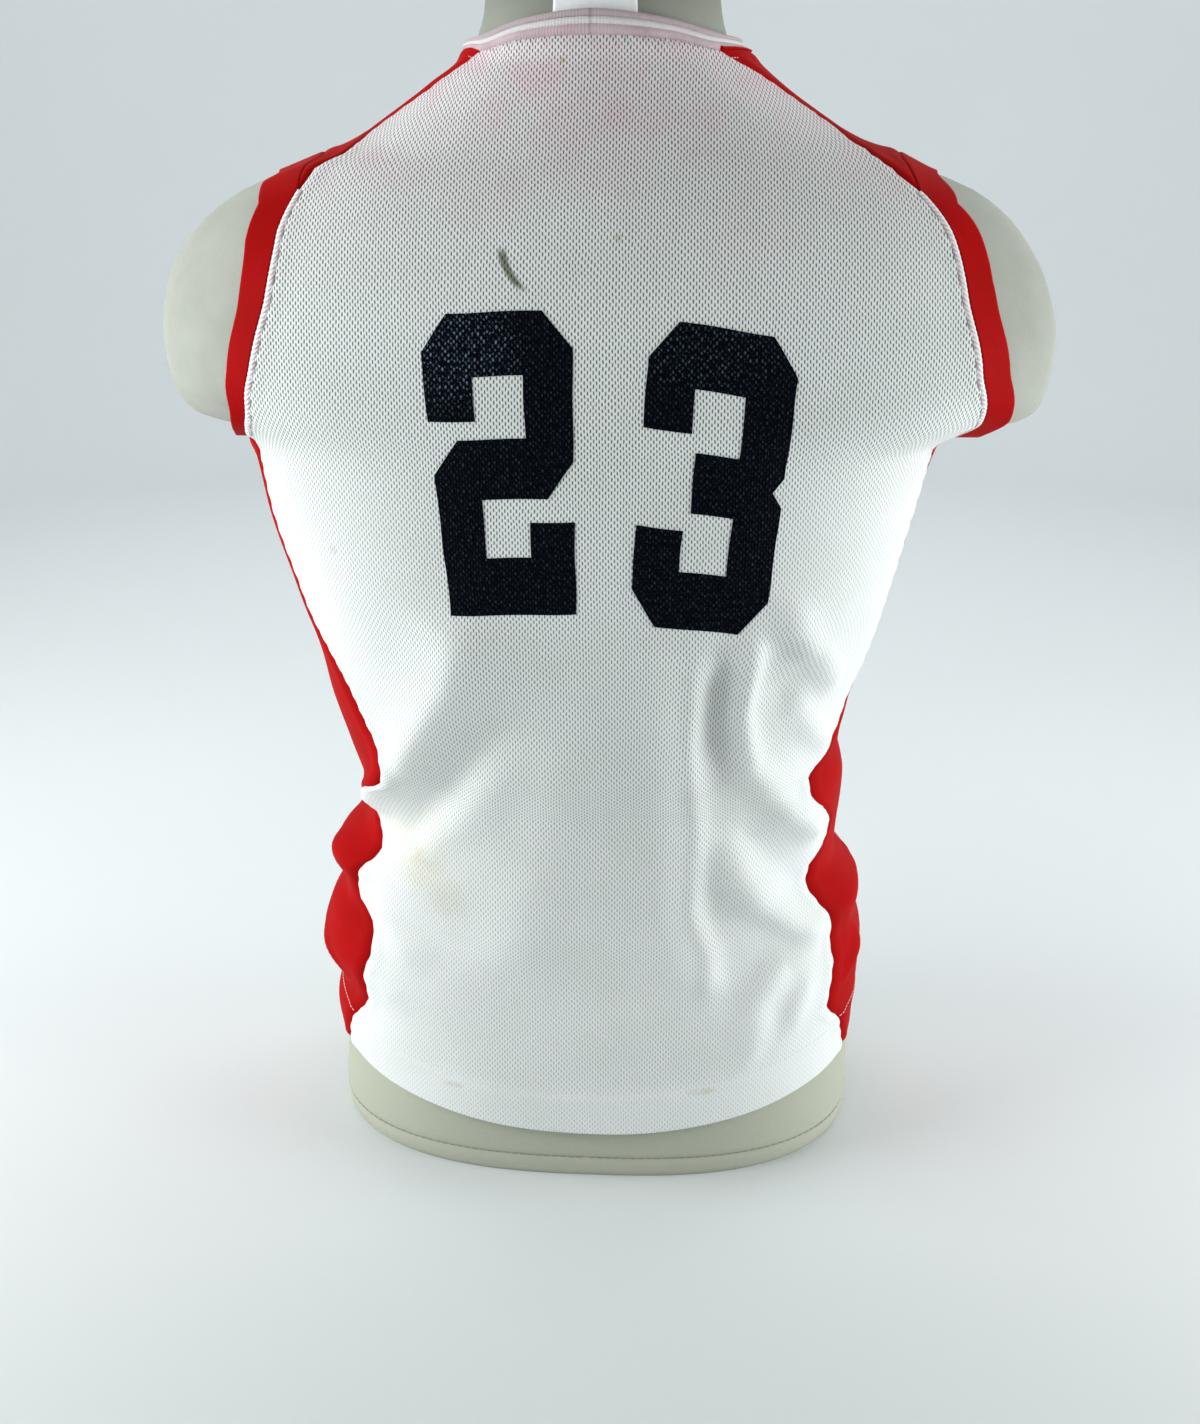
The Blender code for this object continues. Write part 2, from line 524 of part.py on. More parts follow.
def armhole_band(side):
    """Rows of points of the band round one armhole, from its seam to its free edge."""
    rows = [[] for _ in range(BAND_COLUMNS + 1)]
    for angle, height in armhole_loop(side):
        seam = on_jersey(angle, height)
        out, inward, up = (read(BAND_STEPS, "height", height, column)
                           for column in (side_name(side), side_name(side) + "_in", "up"))
        towards = -math.copysign(min(inward, abs(seam.y)), seam.y)
        edge = seam + Vector((side * out, towards, up))
        for row, points in enumerate(rows):
            share = row / BAND_COLUMNS
            level = seam.lerp(edge, share)
            points.append(level if row == 0 else clear_of_stub(level, BAND_CLEARANCE))
    return rows


def collar():
    """Rows of points of the collar, from its seam to its top edge."""
    rows = [[] for _ in range(COLLAR_ROWS + 1)]
    for index in range(COLLAR_SEGMENTS):
        angle = 360 * index / COLLAR_SEGMENTS
        height = neck_height(angle)
        seam = on_jersey(angle, height)
        top = on_form(angle, read(NECKLINE, "angle", wrap(angle), "top"), COLLAR_CLEARANCE)
        for row, points in enumerate(rows):
            points.append(seam.lerp(top, row / COLLAR_ROWS))
    return rows


def care_label():
    """Rows of points of the label that stands up inside the collar at the centre back."""
    half = LABEL_WIDTH / 2
    rows = []
    for row in range(4):
        height = LABEL_BOTTOM + (LABEL_TOP - LABEL_BOTTOM) * row / 3
        spread = math.degrees(half / abs(on_form(0, height).y))
        rows.append([on_form(spread * (column / 3 - 1), height, LABEL_CLEARANCE)
                     for column in range(7)])
    return rows


# ---- meshes ---------------------------------------------------------------------------------------
def inset(rows, closed=False, amount=SEAM_INSET):
    """Move the outer points of a grid in along the cloth, by the inset at a seam."""
    last_row, last_column = len(rows) - 1, len(rows[0]) - 1
    moved = [list(row) for row in rows]
    for r, row in enumerate(rows):
        for c, point in enumerate(row):
            inner_r = min(max(r, 1), last_row - 1)
            inner_c = c if closed else min(max(c, 1), last_column - 1)
            shift = Vector((0, 0, 0))
            if inner_r != r:
                shift += (rows[inner_r][c] - point).normalized() * amount
            if inner_c != c:
                shift += (row[inner_c] - point).normalized() * amount
            moved[r][c] = point + shift
    return moved


def grid_mesh(rows, closed=False):
    """A bmesh of quads over rows of points, joined to a ring where closed."""
    bm = bmesh.new()
    columns = len(rows[0]) if closed else len(rows[0]) - 1
    bmesh.ops.create_grid(bm, x_segments=columns, y_segments=len(rows) - 1, size=0.5)
    for vert in bm.verts:
        column = round((vert.co.x + 0.5) * columns)
        row = round((vert.co.y + 0.5) * (len(rows) - 1))
        vert.co = rows[row][column % len(rows[0])]
    if closed:
        bmesh.ops.remove_doubles(bm, verts=bm.verts, dist=0.00001)
    return bm


def finish_material(name, finish):
    """A Principled material of one finish, made once."""
    material = bpy.data.materials.get(name) or bpy.data.materials.new(name)
    material.use_nodes = True
    shader = material.node_tree.nodes["Principled BSDF"]
    shader.inputs["Base Color"].default_value = (*finish.color, 1.0)
    shader.inputs["Roughness"].default_value = finish.roughness
    shader.inputs["Metallic"].default_value = finish.metallic
    return material


def add_piece(collection, name, bm, finish):
    """An object from a bmesh, in the model's collection, with its own material."""
    mesh = bpy.data.meshes.new(name)
    bm.to_mesh(mesh)
    bm.free()
    mesh.shade_smooth()
    mesh.materials.append(finish_material(name, finish))
    piece = bpy.data.objects.new(name, mesh)
    collection.objects.link(piece)
    return piece


def add_cloth(collection, name, bm, finish, thickness=CLOTH_THICKNESS):
    """An open surface made a wall of cloth by Solidify, half to each side."""
    piece = add_piece(collection, name, bm, finish)
    wall = piece.modifiers.new("wall", "SOLIDIFY")
    wall.thickness = thickness
    wall.offset = 0.0
    wall.use_even_offset = True
    return piece


def add_form(collection):
    """The dress form: trunk, shoulder stubs cut flat below, and neck, closed at both ends."""
    trunk = [0.0, 0.004, 0.014, 0.035, 0.06, 0.09, 0.12, 0.15, 0.18, 0.21, 0.25, 0.29, 0.33, 0.37,
             0.41, 0.44, STUB_UNDERSIDE]
    shoulders = [STUB_UNDERSIDE, 0.463, 0.469, 0.485, 0.51, 0.53, 0.55, 0.567, 0.581, 0.593, 0.604,
                 0.614, 0.624, 0.634, 0.645, 0.656, 0.667, 0.68, 0.70, 0.72, NECK_TOP - 0.003]
    sections = [section_at(FORM_TRUNK, height) for height in trunk]
    sections += [section_at(FORM_SHOULDERS, height) for height in shoulders]
    angles = [360 * i / FORM_SEGMENTS for i in range(FORM_SEGMENTS)]
    rows = [[on_section(section, angle) for angle in angles] for section in sections]
    rows.append([on_section(section_at(FORM_SHOULDERS, NECK_TOP), angle, -0.003)
                 for angle in angles])
    bm = grid_mesh(rows, closed=True)
    ends = [edge for edge in bm.edges if edge.is_boundary]
    bmesh.ops.holes_fill(bm, edges=ends, sides=FORM_SEGMENTS)
    bmesh.ops.recalc_face_normals(bm, faces=bm.faces)
    add_piece(collection, "form_torso", bm, FORM_COVER)


def panel_faces(rows):
    """The faces of a panel, each split both ways, to be searched for where a print lies."""
    columns = len(rows[0])
    faces = []
    for low in (r * columns + c for r in range(len(rows) - 1) for c in range(columns - 1)):
        a, b, c, d = low, low + 1, low + columns + 1, low + columns
        faces += [(a, b, c), (a, c, d), (a, b, d), (b, c, d)]
    return BVHTree.FromPolygons([point for row in rows for point in row], faces)


def on_number(faces, place, across, up):
    """A point of a number: its share across and up, set on the panel and lifted clear of it."""
    bottom = [a + (b - a) * across for a, b in zip(place.bottom_left, place.bottom_right)]
    top = [a + (b - a) * across for a, b in zip(place.top_left, place.top_right)]
    x, height = (a + (b - a) * up for a, b in zip(bottom, top))
    place_on_panel, normal, _, _ = faces.ray_cast(Vector((x, -1, height)), Vector((0, 1, 0)))
    lift = (CLOTH_THICKNESS + PRINT_THICKNESS) / 2 + PRINT_CLEARANCE
    return place_on_panel - normal * math.copysign(lift, normal.y)


def add_number(collection, faces, place):
    """A block numeral: its flat outline cut into small faces and laid on the back panel."""
    bm = bmesh.new()
    outline = DIGIT_OUTLINES[place.digit]
    bm.faces.new([bm.verts.new((across, up, 0)) for across, up in outline])
    cuts = [((across, 0, 0), (1, 0, 0)) for across in sorted({0.5} | {a for a, _ in outline})]
    cuts += [((0, up, 0), (0, 1, 0)) for up in sorted({NUMBER_BEND} | {u for _, u in outline})]
    for point, normal in cuts:
        geometry = bm.verts[:] + bm.edges[:] + bm.faces[:]
        bmesh.ops.bisect_plane(bm, geom=geometry, dist=0.0001, plane_co=point, plane_no=normal)
    for vert in bm.verts:
        vert.co = on_number(faces, place, vert.co.x, vert.co.y)
    add_cloth(collection, "number_" + place.digit, bm, NAVY_FILM, PRINT_THICKNESS)


def build():
    """Make the whole model in an empty scene."""
    for thing in list(bpy.data.objects):
        bpy.data.objects.remove(thing, do_unlink=True)
    collection = bpy.data.collections.new(COLLECTION)
    bpy.context.scene.collection.children.link(collection)

    add_form(collection)
    back = body_panel(back_edge, BACK_COLUMNS, NECK_CORNER)
    front = body_panel(front_edge, FRONT_COLUMNS, neck_height(FRONT_NECK_ANGLE))
    add_cloth(collection, "back_panel", grid_mesh(inset(back)), WHITE_MESH)
    add_cloth(collection, "front_panel", grid_mesh(inset(front)), WHITE_MESH)
    for side in (-1, 1):
        word = side_name(side)
        add_cloth(collection, "side_panel_" + word, grid_mesh(inset(side_panel(side))),
                  RED_KNIT)
        add_cloth(collection, "shoulder_panel_" + word,
                  grid_mesh(inset(shoulder_panel(side), amount=SHOULDER_INSET)), RED_KNIT)
        add_cloth(collection, "armhole_band_" + word,
                  grid_mesh(inset(armhole_band(side), True, BAND_INSET), closed=True), RED_KNIT)
    add_cloth(collection, "collar", grid_mesh(inset(collar(), True), closed=True), COLLAR_KNIT)
    add_cloth(collection, "care_label", grid_mesh(care_label()), LABEL_SATIN, LABEL_THICKNESS)
    faces = panel_faces(back)
    for place in NUMBERS:
        add_number(collection, faces, place)


build()
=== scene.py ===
"""The look of a sleeveless lacrosse jersey worn on a limbless countertop dress form.

Lengths are in metres and +Z is up.  The back of the jersey, with its number, faces -Y and the
wearer's left is at -X.  An angle is in degrees round the vertical axis, from 0 at the centre
back to +90 at +X, 180 at the centre front and -90 at -X.
"""
import math
from collections import namedtuple
from functools import partialmethod

import bmesh
import bpy
import numpy as np
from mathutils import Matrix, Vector
from mathutils.bvhtree import BVHTree


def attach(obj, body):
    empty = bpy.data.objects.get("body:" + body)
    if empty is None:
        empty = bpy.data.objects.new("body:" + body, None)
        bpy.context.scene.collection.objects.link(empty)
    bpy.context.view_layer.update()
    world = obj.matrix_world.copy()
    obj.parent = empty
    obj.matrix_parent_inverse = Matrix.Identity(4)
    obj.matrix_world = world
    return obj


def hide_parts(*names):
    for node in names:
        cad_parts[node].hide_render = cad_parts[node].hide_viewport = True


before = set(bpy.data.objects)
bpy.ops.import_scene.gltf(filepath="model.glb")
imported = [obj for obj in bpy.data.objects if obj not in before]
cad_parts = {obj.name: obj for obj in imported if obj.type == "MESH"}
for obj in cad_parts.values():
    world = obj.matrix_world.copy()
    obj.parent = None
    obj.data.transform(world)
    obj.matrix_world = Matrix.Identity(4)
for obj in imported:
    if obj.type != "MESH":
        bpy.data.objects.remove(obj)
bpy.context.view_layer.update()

# ---- driving dimensions ----
CLOTH = 0.0012                # thickness of one layer of knit
HEM_DOUBLED = 0.0022          # of the folded hem
BAND_DOUBLED = 0.0021         # of the folded armhole bands
HEM_DEPTH = 0.0265            # from the hem up to its stitch line
HEM_STEP = 0.0020             # from there up to where the doubled layer ends
HEM_FADE = 0.0007             # how quickly it ends
HEM_SWELL = 0.0005            # how far the doubled hem stands out
HEM_GROOVE, HEM_GROOVE_WIDTH = 0.0007, 0.0012
SEAM_TUCK = 0.0017            # how deep a panel's edge turns in at a seam
SEAM_ROLL = 0.0016            # and over what distance
SWELL, SWELL_PLACE, SWELL_WIDTH = 0.0007, 0.0065, 0.0045    # of the cloth beside a seam
PUCKER, PUCKER_FADE, PUCKER_PITCH = 0.0004, 0.010, 0.011    # along the seams of white mesh
RIM = 0.42                    # how far a wall's rim stands out, as a share of its thickness

NECK_TOP = 0.745
STUB_UNDERSIDE = 0.460
FORM_SEAM = 0.0135            # height of the seam round the form's base
FORM_GROOVE, FORM_GROOVE_WIDTH = 0.0012, 0.0011

HEM_BACK = 0.036
HEM_RISE = 0.030              # how much higher the hem hangs at the sides
HEM_RISE_REACH = 0.200        # height above which the rows are level

UNDERARM_HEIGHT = 0.4535
UNDERARM_LIFT = 0.0075
UNDERARM_HALF_ANGLE = 26.0
SIDE_SEAM_TOP = UNDERARM_HEIGHT + UNDERARM_LIFT
SHOULDER_TOP = 0.6122
SHOULDER_DROP = 0.0182
SHOULDER_CORNER = SHOULDER_TOP - SHOULDER_DROP
NECK_CORNER = 0.6655
FRONT_NECK = 127.0            # angle where the shoulder seams meet the collar at the front
FRONT_SEAM_ANGLE = 108.0      # side panel to front panel, up to FRONT_SEAM_BEND
FRONT_SEAM_BEND = 0.40
ARMHOLE_EVENED = 0.020        # heights over which the armhole's line is evened out

BAND_CLEARANCE = 0.0022
COLLAR_CLEARANCE = 0.0042
COLLAR_ROW = 0.0042           # from the collar seam down to its row of stitches
COLLAR_TUCK = 0.0016          # how deep it turns in at its seam
COLLAR_WALL, COLLAR_ROLL = 0.0018, 0.0008   # its thickness, and how much thicker its top is
LABEL_WIDTH = 0.042
LABEL_BOTTOM, LABEL_TOP = 0.668, 0.712
LABEL_TURN = 0.8              # angle of the label's centre
LABEL_CLEARANCE, LABEL_WALL, LABEL_CURL = 0.0020, 0.0005, 0.0012

BAR, STEM = 0.20, 0.33        # of the digits, as shares of their height and width
CUT_A, CUT_U = 0.19, 0.12     # cut corners, across and up
FILM = 0.00025                # thickness of the number film
FILM_GAP = 0.00018            # from the cloth's face to the film

KNIT_PITCH, KNIT_RISE = 0.0032, 0.0036    # from pin hole to pin hole in one course and one wale
ROW_STEP, COLUMN_STEP = 0.0027, 0.0025    # of the grids of points
CHAIN_PITCH = 0.0029          # of the armholes' covering stitch
TAPE_PLACE, TAPE_WIDTH, TAPE_HEIGHT = 0.0026, 0.0042, 0.0019    # the covering stitch
LINE_PLACE, LINE_WIDTH, LINE_HEIGHT = 0.0050, 0.0009, 0.0007    # the stitch line beside it
BAND_SMOOTHING = 40           # times a band's free edge is evened out
UNDERARM_BEND = 0.30          # height above which a side panel's rows bend to the armhole
BODY_WIDTH, SIDE_WIDTH = 0.42, 0.12       # rough sizes that set how the grids are spaced
SHOULDER_WIDTH, SHOULDER_LENGTH = 0.15, 0.12
SHOULDER_EDGE = 0.075

FOLD_RADIUS = 0.140           # turns an angle into a length when folds are measured
FOLD_END_FADE = 0.026

CAMERA_PLACE = (0.0598, -0.9772, 0.619)
SENSOR = 36.0
CAMERA_DISTANCE, CAMERA_FRAME = 1600, 1424    # a frame this long seen from this far, any unit
CAMERA_DOWN, CAMERA_TURN = 19.64, 3.5         # degrees below level and round to the left


def table(columns, *rows):
    """Rows of numbers with named columns."""
    row = namedtuple("Row", columns)
    return [row(*values) for values in rows]


HEM_STITCH, COLLAR_STITCH, FORM_STITCH = table(
    "length gap width height",
    (0.0028, 0.0007, 0.0006, 0.0005), (0.0016, 0.0010, 0.0005, 0.0004),
    (0.0042, 0.0010, 0.0007, 0.0006))

# ---- horizontal sections: half-widths, depths and the superellipse's power ----
SECTION = "height left right back front power"
FORM_TRUNK = table(
    SECTION,
    (0.000, 0.1690, 0.1650, 0.1195, 0.1170, 2.6),
    (0.004, 0.1725, 0.1685, 0.1215, 0.1190, 2.6),
    (0.014, 0.1740, 0.1700, 0.1215, 0.1190, 2.6),
    (0.040, 0.1725, 0.1695, 0.1215, 0.1175, 2.5),
    (0.065, 0.1695, 0.1665, 0.1200, 0.1150, 2.4),
    (0.100, 0.1640, 0.1610, 0.1150, 0.1110, 2.4),
    (0.150, 0.1500, 0.1480, 0.1050, 0.1060, 2.3),
    (0.210, 0.1390, 0.1380, 0.0980, 0.1040, 2.3),
    (0.280, 0.1440, 0.1420, 0.1020, 0.1110, 2.3),
    (0.360, 0.1620, 0.1590, 0.1140, 0.1200, 2.35),
    (0.430, 0.1780, 0.1760, 0.1220, 0.1240, 2.4),
    (0.460, 0.1830, 0.1820, 0.1240, 0.1240, 2.4))
FORM_SHOULDERS = table(
    SECTION,
    (0.460, 0.2420, 0.2470, 0.1240, 0.1240, 1.42),
    (0.463, 0.2500, 0.2560, 0.1245, 0.1235, 1.48),
    (0.469, 0.2560, 0.2625, 0.1250, 0.1230, 1.65),
    (0.485, 0.2600, 0.2660, 0.1250, 0.1210, 2.05),
    (0.510, 0.2615, 0.2675, 0.1250, 0.1180, 2.2),
    (0.540, 0.2565, 0.2600, 0.1225, 0.1100, 2.2),
    (0.570, 0.2385, 0.2420, 0.1160, 0.0990, 2.2),
    (0.590, 0.2120, 0.2190, 0.1080, 0.0900, 2.2),
    (0.605, 0.1765, 0.1840, 0.0985, 0.0820, 2.2),
    (0.613, 0.1500, 0.1630, 0.0940, 0.0785, 2.15),
    (0.620, 0.1340, 0.1425, 0.0910, 0.0760, 2.15),
    (0.635, 0.1095, 0.1165, 0.0820, 0.0710, 2.1),
    (0.650, 0.0895, 0.0955, 0.0750, 0.0670, 2.05),
    (0.662, 0.0745, 0.0805, 0.0695, 0.0650, 2.0),
    (0.675, 0.0685, 0.0715, 0.0665, 0.0635, 2.0),
    (0.690, 0.0645, 0.0680, 0.0650, 0.0625, 2.0),
    (0.720, 0.0635, 0.0660, 0.0640, 0.0620, 2.0),
    (NECK_TOP, 0.0635, 0.0650, 0.0630, 0.0615, 2.0))
JERSEY_SECTIONS = table(
    SECTION,
    (0.035, 0.1748, 0.1722, 0.1265, 0.1225, 2.45),
    (0.055, 0.1735, 0.1695, 0.1265, 0.1225, 2.45),
    (0.075, 0.1765, 0.1700, 0.1260, 0.1225, 2.4),
    (0.095, 0.1725, 0.1725, 0.1255, 0.1220, 2.4),
    (0.125, 0.1845, 0.1735, 0.1240, 0.1215, 2.3),
    (0.145, 0.1785, 0.1695, 0.1235, 0.1210, 2.3),
    (0.160, 0.1680, 0.1715, 0.1230, 0.1210, 2.3),
    (0.172, 0.1690, 0.1625, 0.1225, 0.1210, 2.3),
    (0.187, 0.1705, 0.1530, 0.1220, 0.1210, 2.3),
    (0.205, 0.1520, 0.1545, 0.1220, 0.1210, 2.3),
    (0.220, 0.1465, 0.1560, 0.1215, 0.1210, 2.3),
    (0.240, 0.1525, 0.1570, 0.1215, 0.1215, 2.3),
    (0.262, 0.1605, 0.1525, 0.1220, 0.1220, 2.3),
    (0.290, 0.1680, 0.1560, 0.1240, 0.1240, 2.3),
    (0.320, 0.1745, 0.1665, 0.1265, 0.1270, 2.35),
    (0.360, 0.1865, 0.1780, 0.1295, 0.1300, 2.4),
    (0.410, 0.2000, 0.1900, 0.1325, 0.1310, 2.45),
    (0.453, 0.2095, 0.2010, 0.1335, 0.1300, 2.5),
    (0.472, 0.2355, 0.2390, 0.1340, 0.1300, 2.5),
    (0.495, 0.2620, 0.2660, 0.1325, 0.1260, 2.3),
    (0.515, 0.2660, 0.2710, 0.1310, 0.1220, 2.25),
    (0.540, 0.2600, 0.2630, 0.1280, 0.1150, 2.2),
    (0.570, 0.2400, 0.2440, 0.1200, 0.1040, 2.2),
    (0.590, 0.2140, 0.2200, 0.1120, 0.0950, 2.2),
    (0.605, 0.1865, 0.1912, 0.1035, 0.0880, 2.2),
    (0.613, 0.1575, 0.1700, 0.0985, 0.0840, 2.15),
    (0.620, 0.1403, 0.1490, 0.0945, 0.0800, 2.15),
    (0.635, 0.1162, 0.1230, 0.0855, 0.0750, 2.1),
    (0.650, 0.0956, 0.1020, 0.0785, 0.0710, 2.05),
    (0.662, 0.0795, 0.0880, 0.0735, 0.0690, 2.0),
    (0.675, 0.0735, 0.0760, 0.0710, 0.0680, 2.0))

# ---- seam lines ----
TURNS = table(                # how far the cloth has slipped round the body
    "height angle",
    (0.030, 0), (0.200, 0.5), (0.270, 1.5), (0.340, 4), (0.480, 4), (0.590, 3.5), (0.620, 1.7),
    (0.650, 0), (0.700, 0))
SIDE_SEAMS = table(           # angles of the seam from back panel to side panel
    "height left right",
    (0.060, 62.5, 67.0), (0.084, 57.5, 62.5), (0.101, 52.3, 55.5), (0.117, 50.0, 57.5),
    (0.135, 47.5, 58.2), (0.150, 49.0, 57.3), (0.159, 54.0, 56.8), (0.169, 59.0, 56.5),
    (0.180, 57.0, 56.0), (0.196, 55.0, 56.5), (0.207, 59.5, 62.0), (0.219, 65.5, 66.0),
    (0.232, 62.5, 60.0), (0.245, 57.0, 53.5), (0.256, 46.6, 54.5), (0.263, 45.4, 60.2),
    (0.270, 47.6, 66.0), (0.288, 53.2, 71.0), (0.310, 58.2, 72.1), (0.330, 63.0, 72.5),
    (0.365, 69.5, 74.0), (0.425, 70.0, 73.0), (SIDE_SEAM_TOP, 64.0, 64.0))
SHOULDER_SEAM = table(        # angles of the seam from back panel to shoulder panel
    "height left right",
    (SHOULDER_CORNER, 51.5, 49.5), (0.601, 53.5, 50.8), (0.609, 57.5, 54.5), (0.618, 66.0, 63.0),
    (0.627, 72.0, 71.0), (0.636, 71.0, 72.0), (0.645, 66.5, 70.5), (0.653, 64.0, 66.0),
    (0.660, 60.0, 57.5), (NECK_CORNER, 53.0, 51.0))
ARMHOLE = table(              # half of each armhole's angle
    "height left right",
    (SIDE_SEAM_TOP, UNDERARM_HALF_ANGLE, UNDERARM_HALF_ANGLE), (0.470, 34.5, 33.0),
    (0.485, 41.0, 41.5), (0.509, 44.3, 46.0), (0.534, 45.6, 46.0), (0.556, 45.4, 44.5),
    (0.575, 42.5, 42.5), (SHOULDER_CORNER, 38.5, 40.5))
BAND_STEPS = table(           # from an armhole's seam to its band's free edge
    "height left left_in right right_in up",
    (UNDERARM_HEIGHT, 0.0065, 0, 0.0210, 0, 0),
    (SIDE_SEAM_TOP, 0.0055, 0, 0.0165, 0, 0),
    (0.485, 0.0110, 0.0040, 0.0160, 0.0120, 0.0010),
    (0.509, 0.0145, 0.0070, 0.0160, 0.0120, -0.0010),
    (0.534, 0.0160, 0.0070, 0.0170, 0.0100, -0.0040),
    (0.572, 0.0170, 0.0030, 0.0150, 0.0110, -0.0040),
    (SHOULDER_CORNER, 0.0230, 0.0020, 0.0140, 0.0110, -0.0080),
    (SHOULDER_TOP, 0.0245, 0, 0.0190, 0, -0.0095))
NECKLINE = table(             # heights of the collar's seam and of its top
    "angle seam top",
    (-180, 0.6180, 0.6300), (-155, 0.6270, 0.6375), (-125, 0.6490, 0.6570),
    (-90, 0.6665, 0.6710), (-65, 0.6675, 0.6715), (-53, NECK_CORNER, 0.6730),
    (-30, 0.6700, 0.6795), (0, 0.6720, 0.6835), (30, 0.6700, 0.6795),
    (51, NECK_CORNER, 0.6745), (65, 0.6660, 0.6725), (90, 0.6655, 0.6715),
    (125, 0.6490, 0.6580), (155, 0.6270, 0.6380), (180, 0.6180, 0.6300))
COLLAR_SWELLS = table(        # of the folded collar, centre and width as shares of its height
    "rise centre width",
    (0.0013, 0.92, 0.10), (0.0012, 0.58, 0.09), (-0.0014, 0.76, 0.035), (-0.0010, 0.42, 0.03),
    (0.0008, 0.24, 0.12))

# ---- creases: a ridge or trough along a path of angle, height and half-width ----
FOLDS = table(
    "rise path",
    # back, left of the spine
    (0.0090, ((-18, 0.376, 0.024), (-24, 0.326, 0.020), (-38, 0.272, 0.015), (-66, 0.222, 0.011))),
    (0.0024, ((-19, 0.366, 0.009), (-25, 0.322, 0.008), (-39, 0.269, 0.007), (-62, 0.227, 0.007))),
    (-0.0036, ((-15, 0.310, 0.012), (-31, 0.254, 0.011), (-51, 0.212, 0.008))),
    (0.0024, ((-12, 0.294, 0.014), (-24, 0.249, 0.013), (-42, 0.208, 0.010), (-54, 0.200, 0.010))),
    (0.0060, ((-86, 0.178, 0.011), (-66, 0.186, 0.011), (-52, 0.190, 0.010))),
    (0.0042, ((-53, 0.178, 0.010), (-42, 0.155, 0.012), (-30, 0.134, 0.013))),
    (0.0030, ((-3, 0.307, 0.018), (-8, 0.218, 0.020), (-17, 0.136, 0.020))),
    (0.0022, ((-46, 0.128, 0.010), (-36, 0.100, 0.012))),
    # back, right of the spine
    (-0.0033, ((8, 0.340, 0.020), (10, 0.220, 0.022), (11, 0.112, 0.020))),
    (0.0064, ((18, 0.366, 0.011), (21, 0.271, 0.009), (22, 0.167, 0.009), (24, 0.122, 0.009))),
    (-0.0058, ((24, 0.350, 0.008), (25, 0.313, 0.008), (28, 0.270, 0.009))),
    (0.0086, ((29, 0.368, 0.008), (30, 0.312, 0.007), (35, 0.274, 0.010), (45, 0.243, 0.011),
              (60, 0.213, 0.010))),
    (0.0063, ((32, 0.384, 0.009), (42, 0.347, 0.010), (58, 0.309, 0.009))),
    (0.0057, ((38, 0.326, 0.008), (50, 0.296, 0.009), (66, 0.264, 0.008))),
    (-0.0030, ((30, 0.245, 0.008), (42, 0.213, 0.010), (56, 0.184, 0.009))),
    (0.0070, ((26, 0.230, 0.011), (37, 0.190, 0.012), (46, 0.165, 0.011), (56, 0.150, 0.010))),
    (0.0045, ((55, 0.150, 0.010), (41, 0.146, 0.010), (34, 0.120, 0.010), (32, 0.084, 0.010))),
    (0.0035, ((50, 0.138, 0.008), (44, 0.109, 0.008), (41, 0.086, 0.008))),
    (0.0016, ((30, 0.372, 0.005), (41, 0.349, 0.005), (55, 0.330, 0.005))),
    (-0.0034, ((34, 0.336, 0.008), (42, 0.313, 0.009), (54, 0.292, 0.008))),
    (0.0018, ((36, 0.104, 0.006), (33, 0.084, 0.006), (31, 0.070, 0.006))),
    # front, where the same slack gathers at the waist
    (0.0070, ((158, 0.376, 0.020), (152, 0.318, 0.017), (137, 0.262, 0.014), (114, 0.226, 0.011))),
    (-0.0030, ((167, 0.340, 0.013), (158, 0.290, 0.012), (142, 0.244, 0.010))),
    (0.0052, ((166, 0.264, 0.014), (147, 0.222, 0.012), (124, 0.192, 0.010))),
    (0.0032, ((173, 0.236, 0.017), (165, 0.170, 0.016), (160, 0.112, 0.015))),
    (0.0042, ((126, 0.168, 0.010), (140, 0.132, 0.012), (146, 0.090, 0.012))),
    (0.0068, ((-157, 0.366, 0.019), (-150, 0.304, 0.016), (-136, 0.250, 0.013),
              (-115, 0.216, 0.011))),
    (-0.0028, ((-167, 0.334, 0.013), (-158, 0.282, 0.012), (-144, 0.238, 0.010))),
    (0.0048, ((-165, 0.252, 0.013), (-148, 0.208, 0.012), (-123, 0.178, 0.010))),
    (0.0030, ((-173, 0.214, 0.017), (-166, 0.160, 0.016), (-158, 0.106, 0.015))),
    (0.0040, ((-122, 0.156, 0.010), (-139, 0.120, 0.012), (-145, 0.086, 0.012))),
    # side panels
    (0.0035, ((-58, 0.104, 0.006), (-66, 0.112, 0.007), (-76, 0.132, 0.008))),
    (0.0035, ((60, 0.108, 0.006), (68, 0.120, 0.007), (80, 0.136, 0.008))),
    # neck and shoulders
    (0.0022, ((16, 0.672, 0.006), (27, 0.661, 0.007), (38, 0.648, 0.009), (44, 0.634, 0.011))))
RIPPLES = table(              # soft unevenness all over
    "turns_angle turns_height phase rise",
    (5, 7, 0.4, 0.00055), (9, -11, 2.1, 0.00040), (14, 6, 4.0, 0.00028), (3, 19, 1.2, 0.00030))

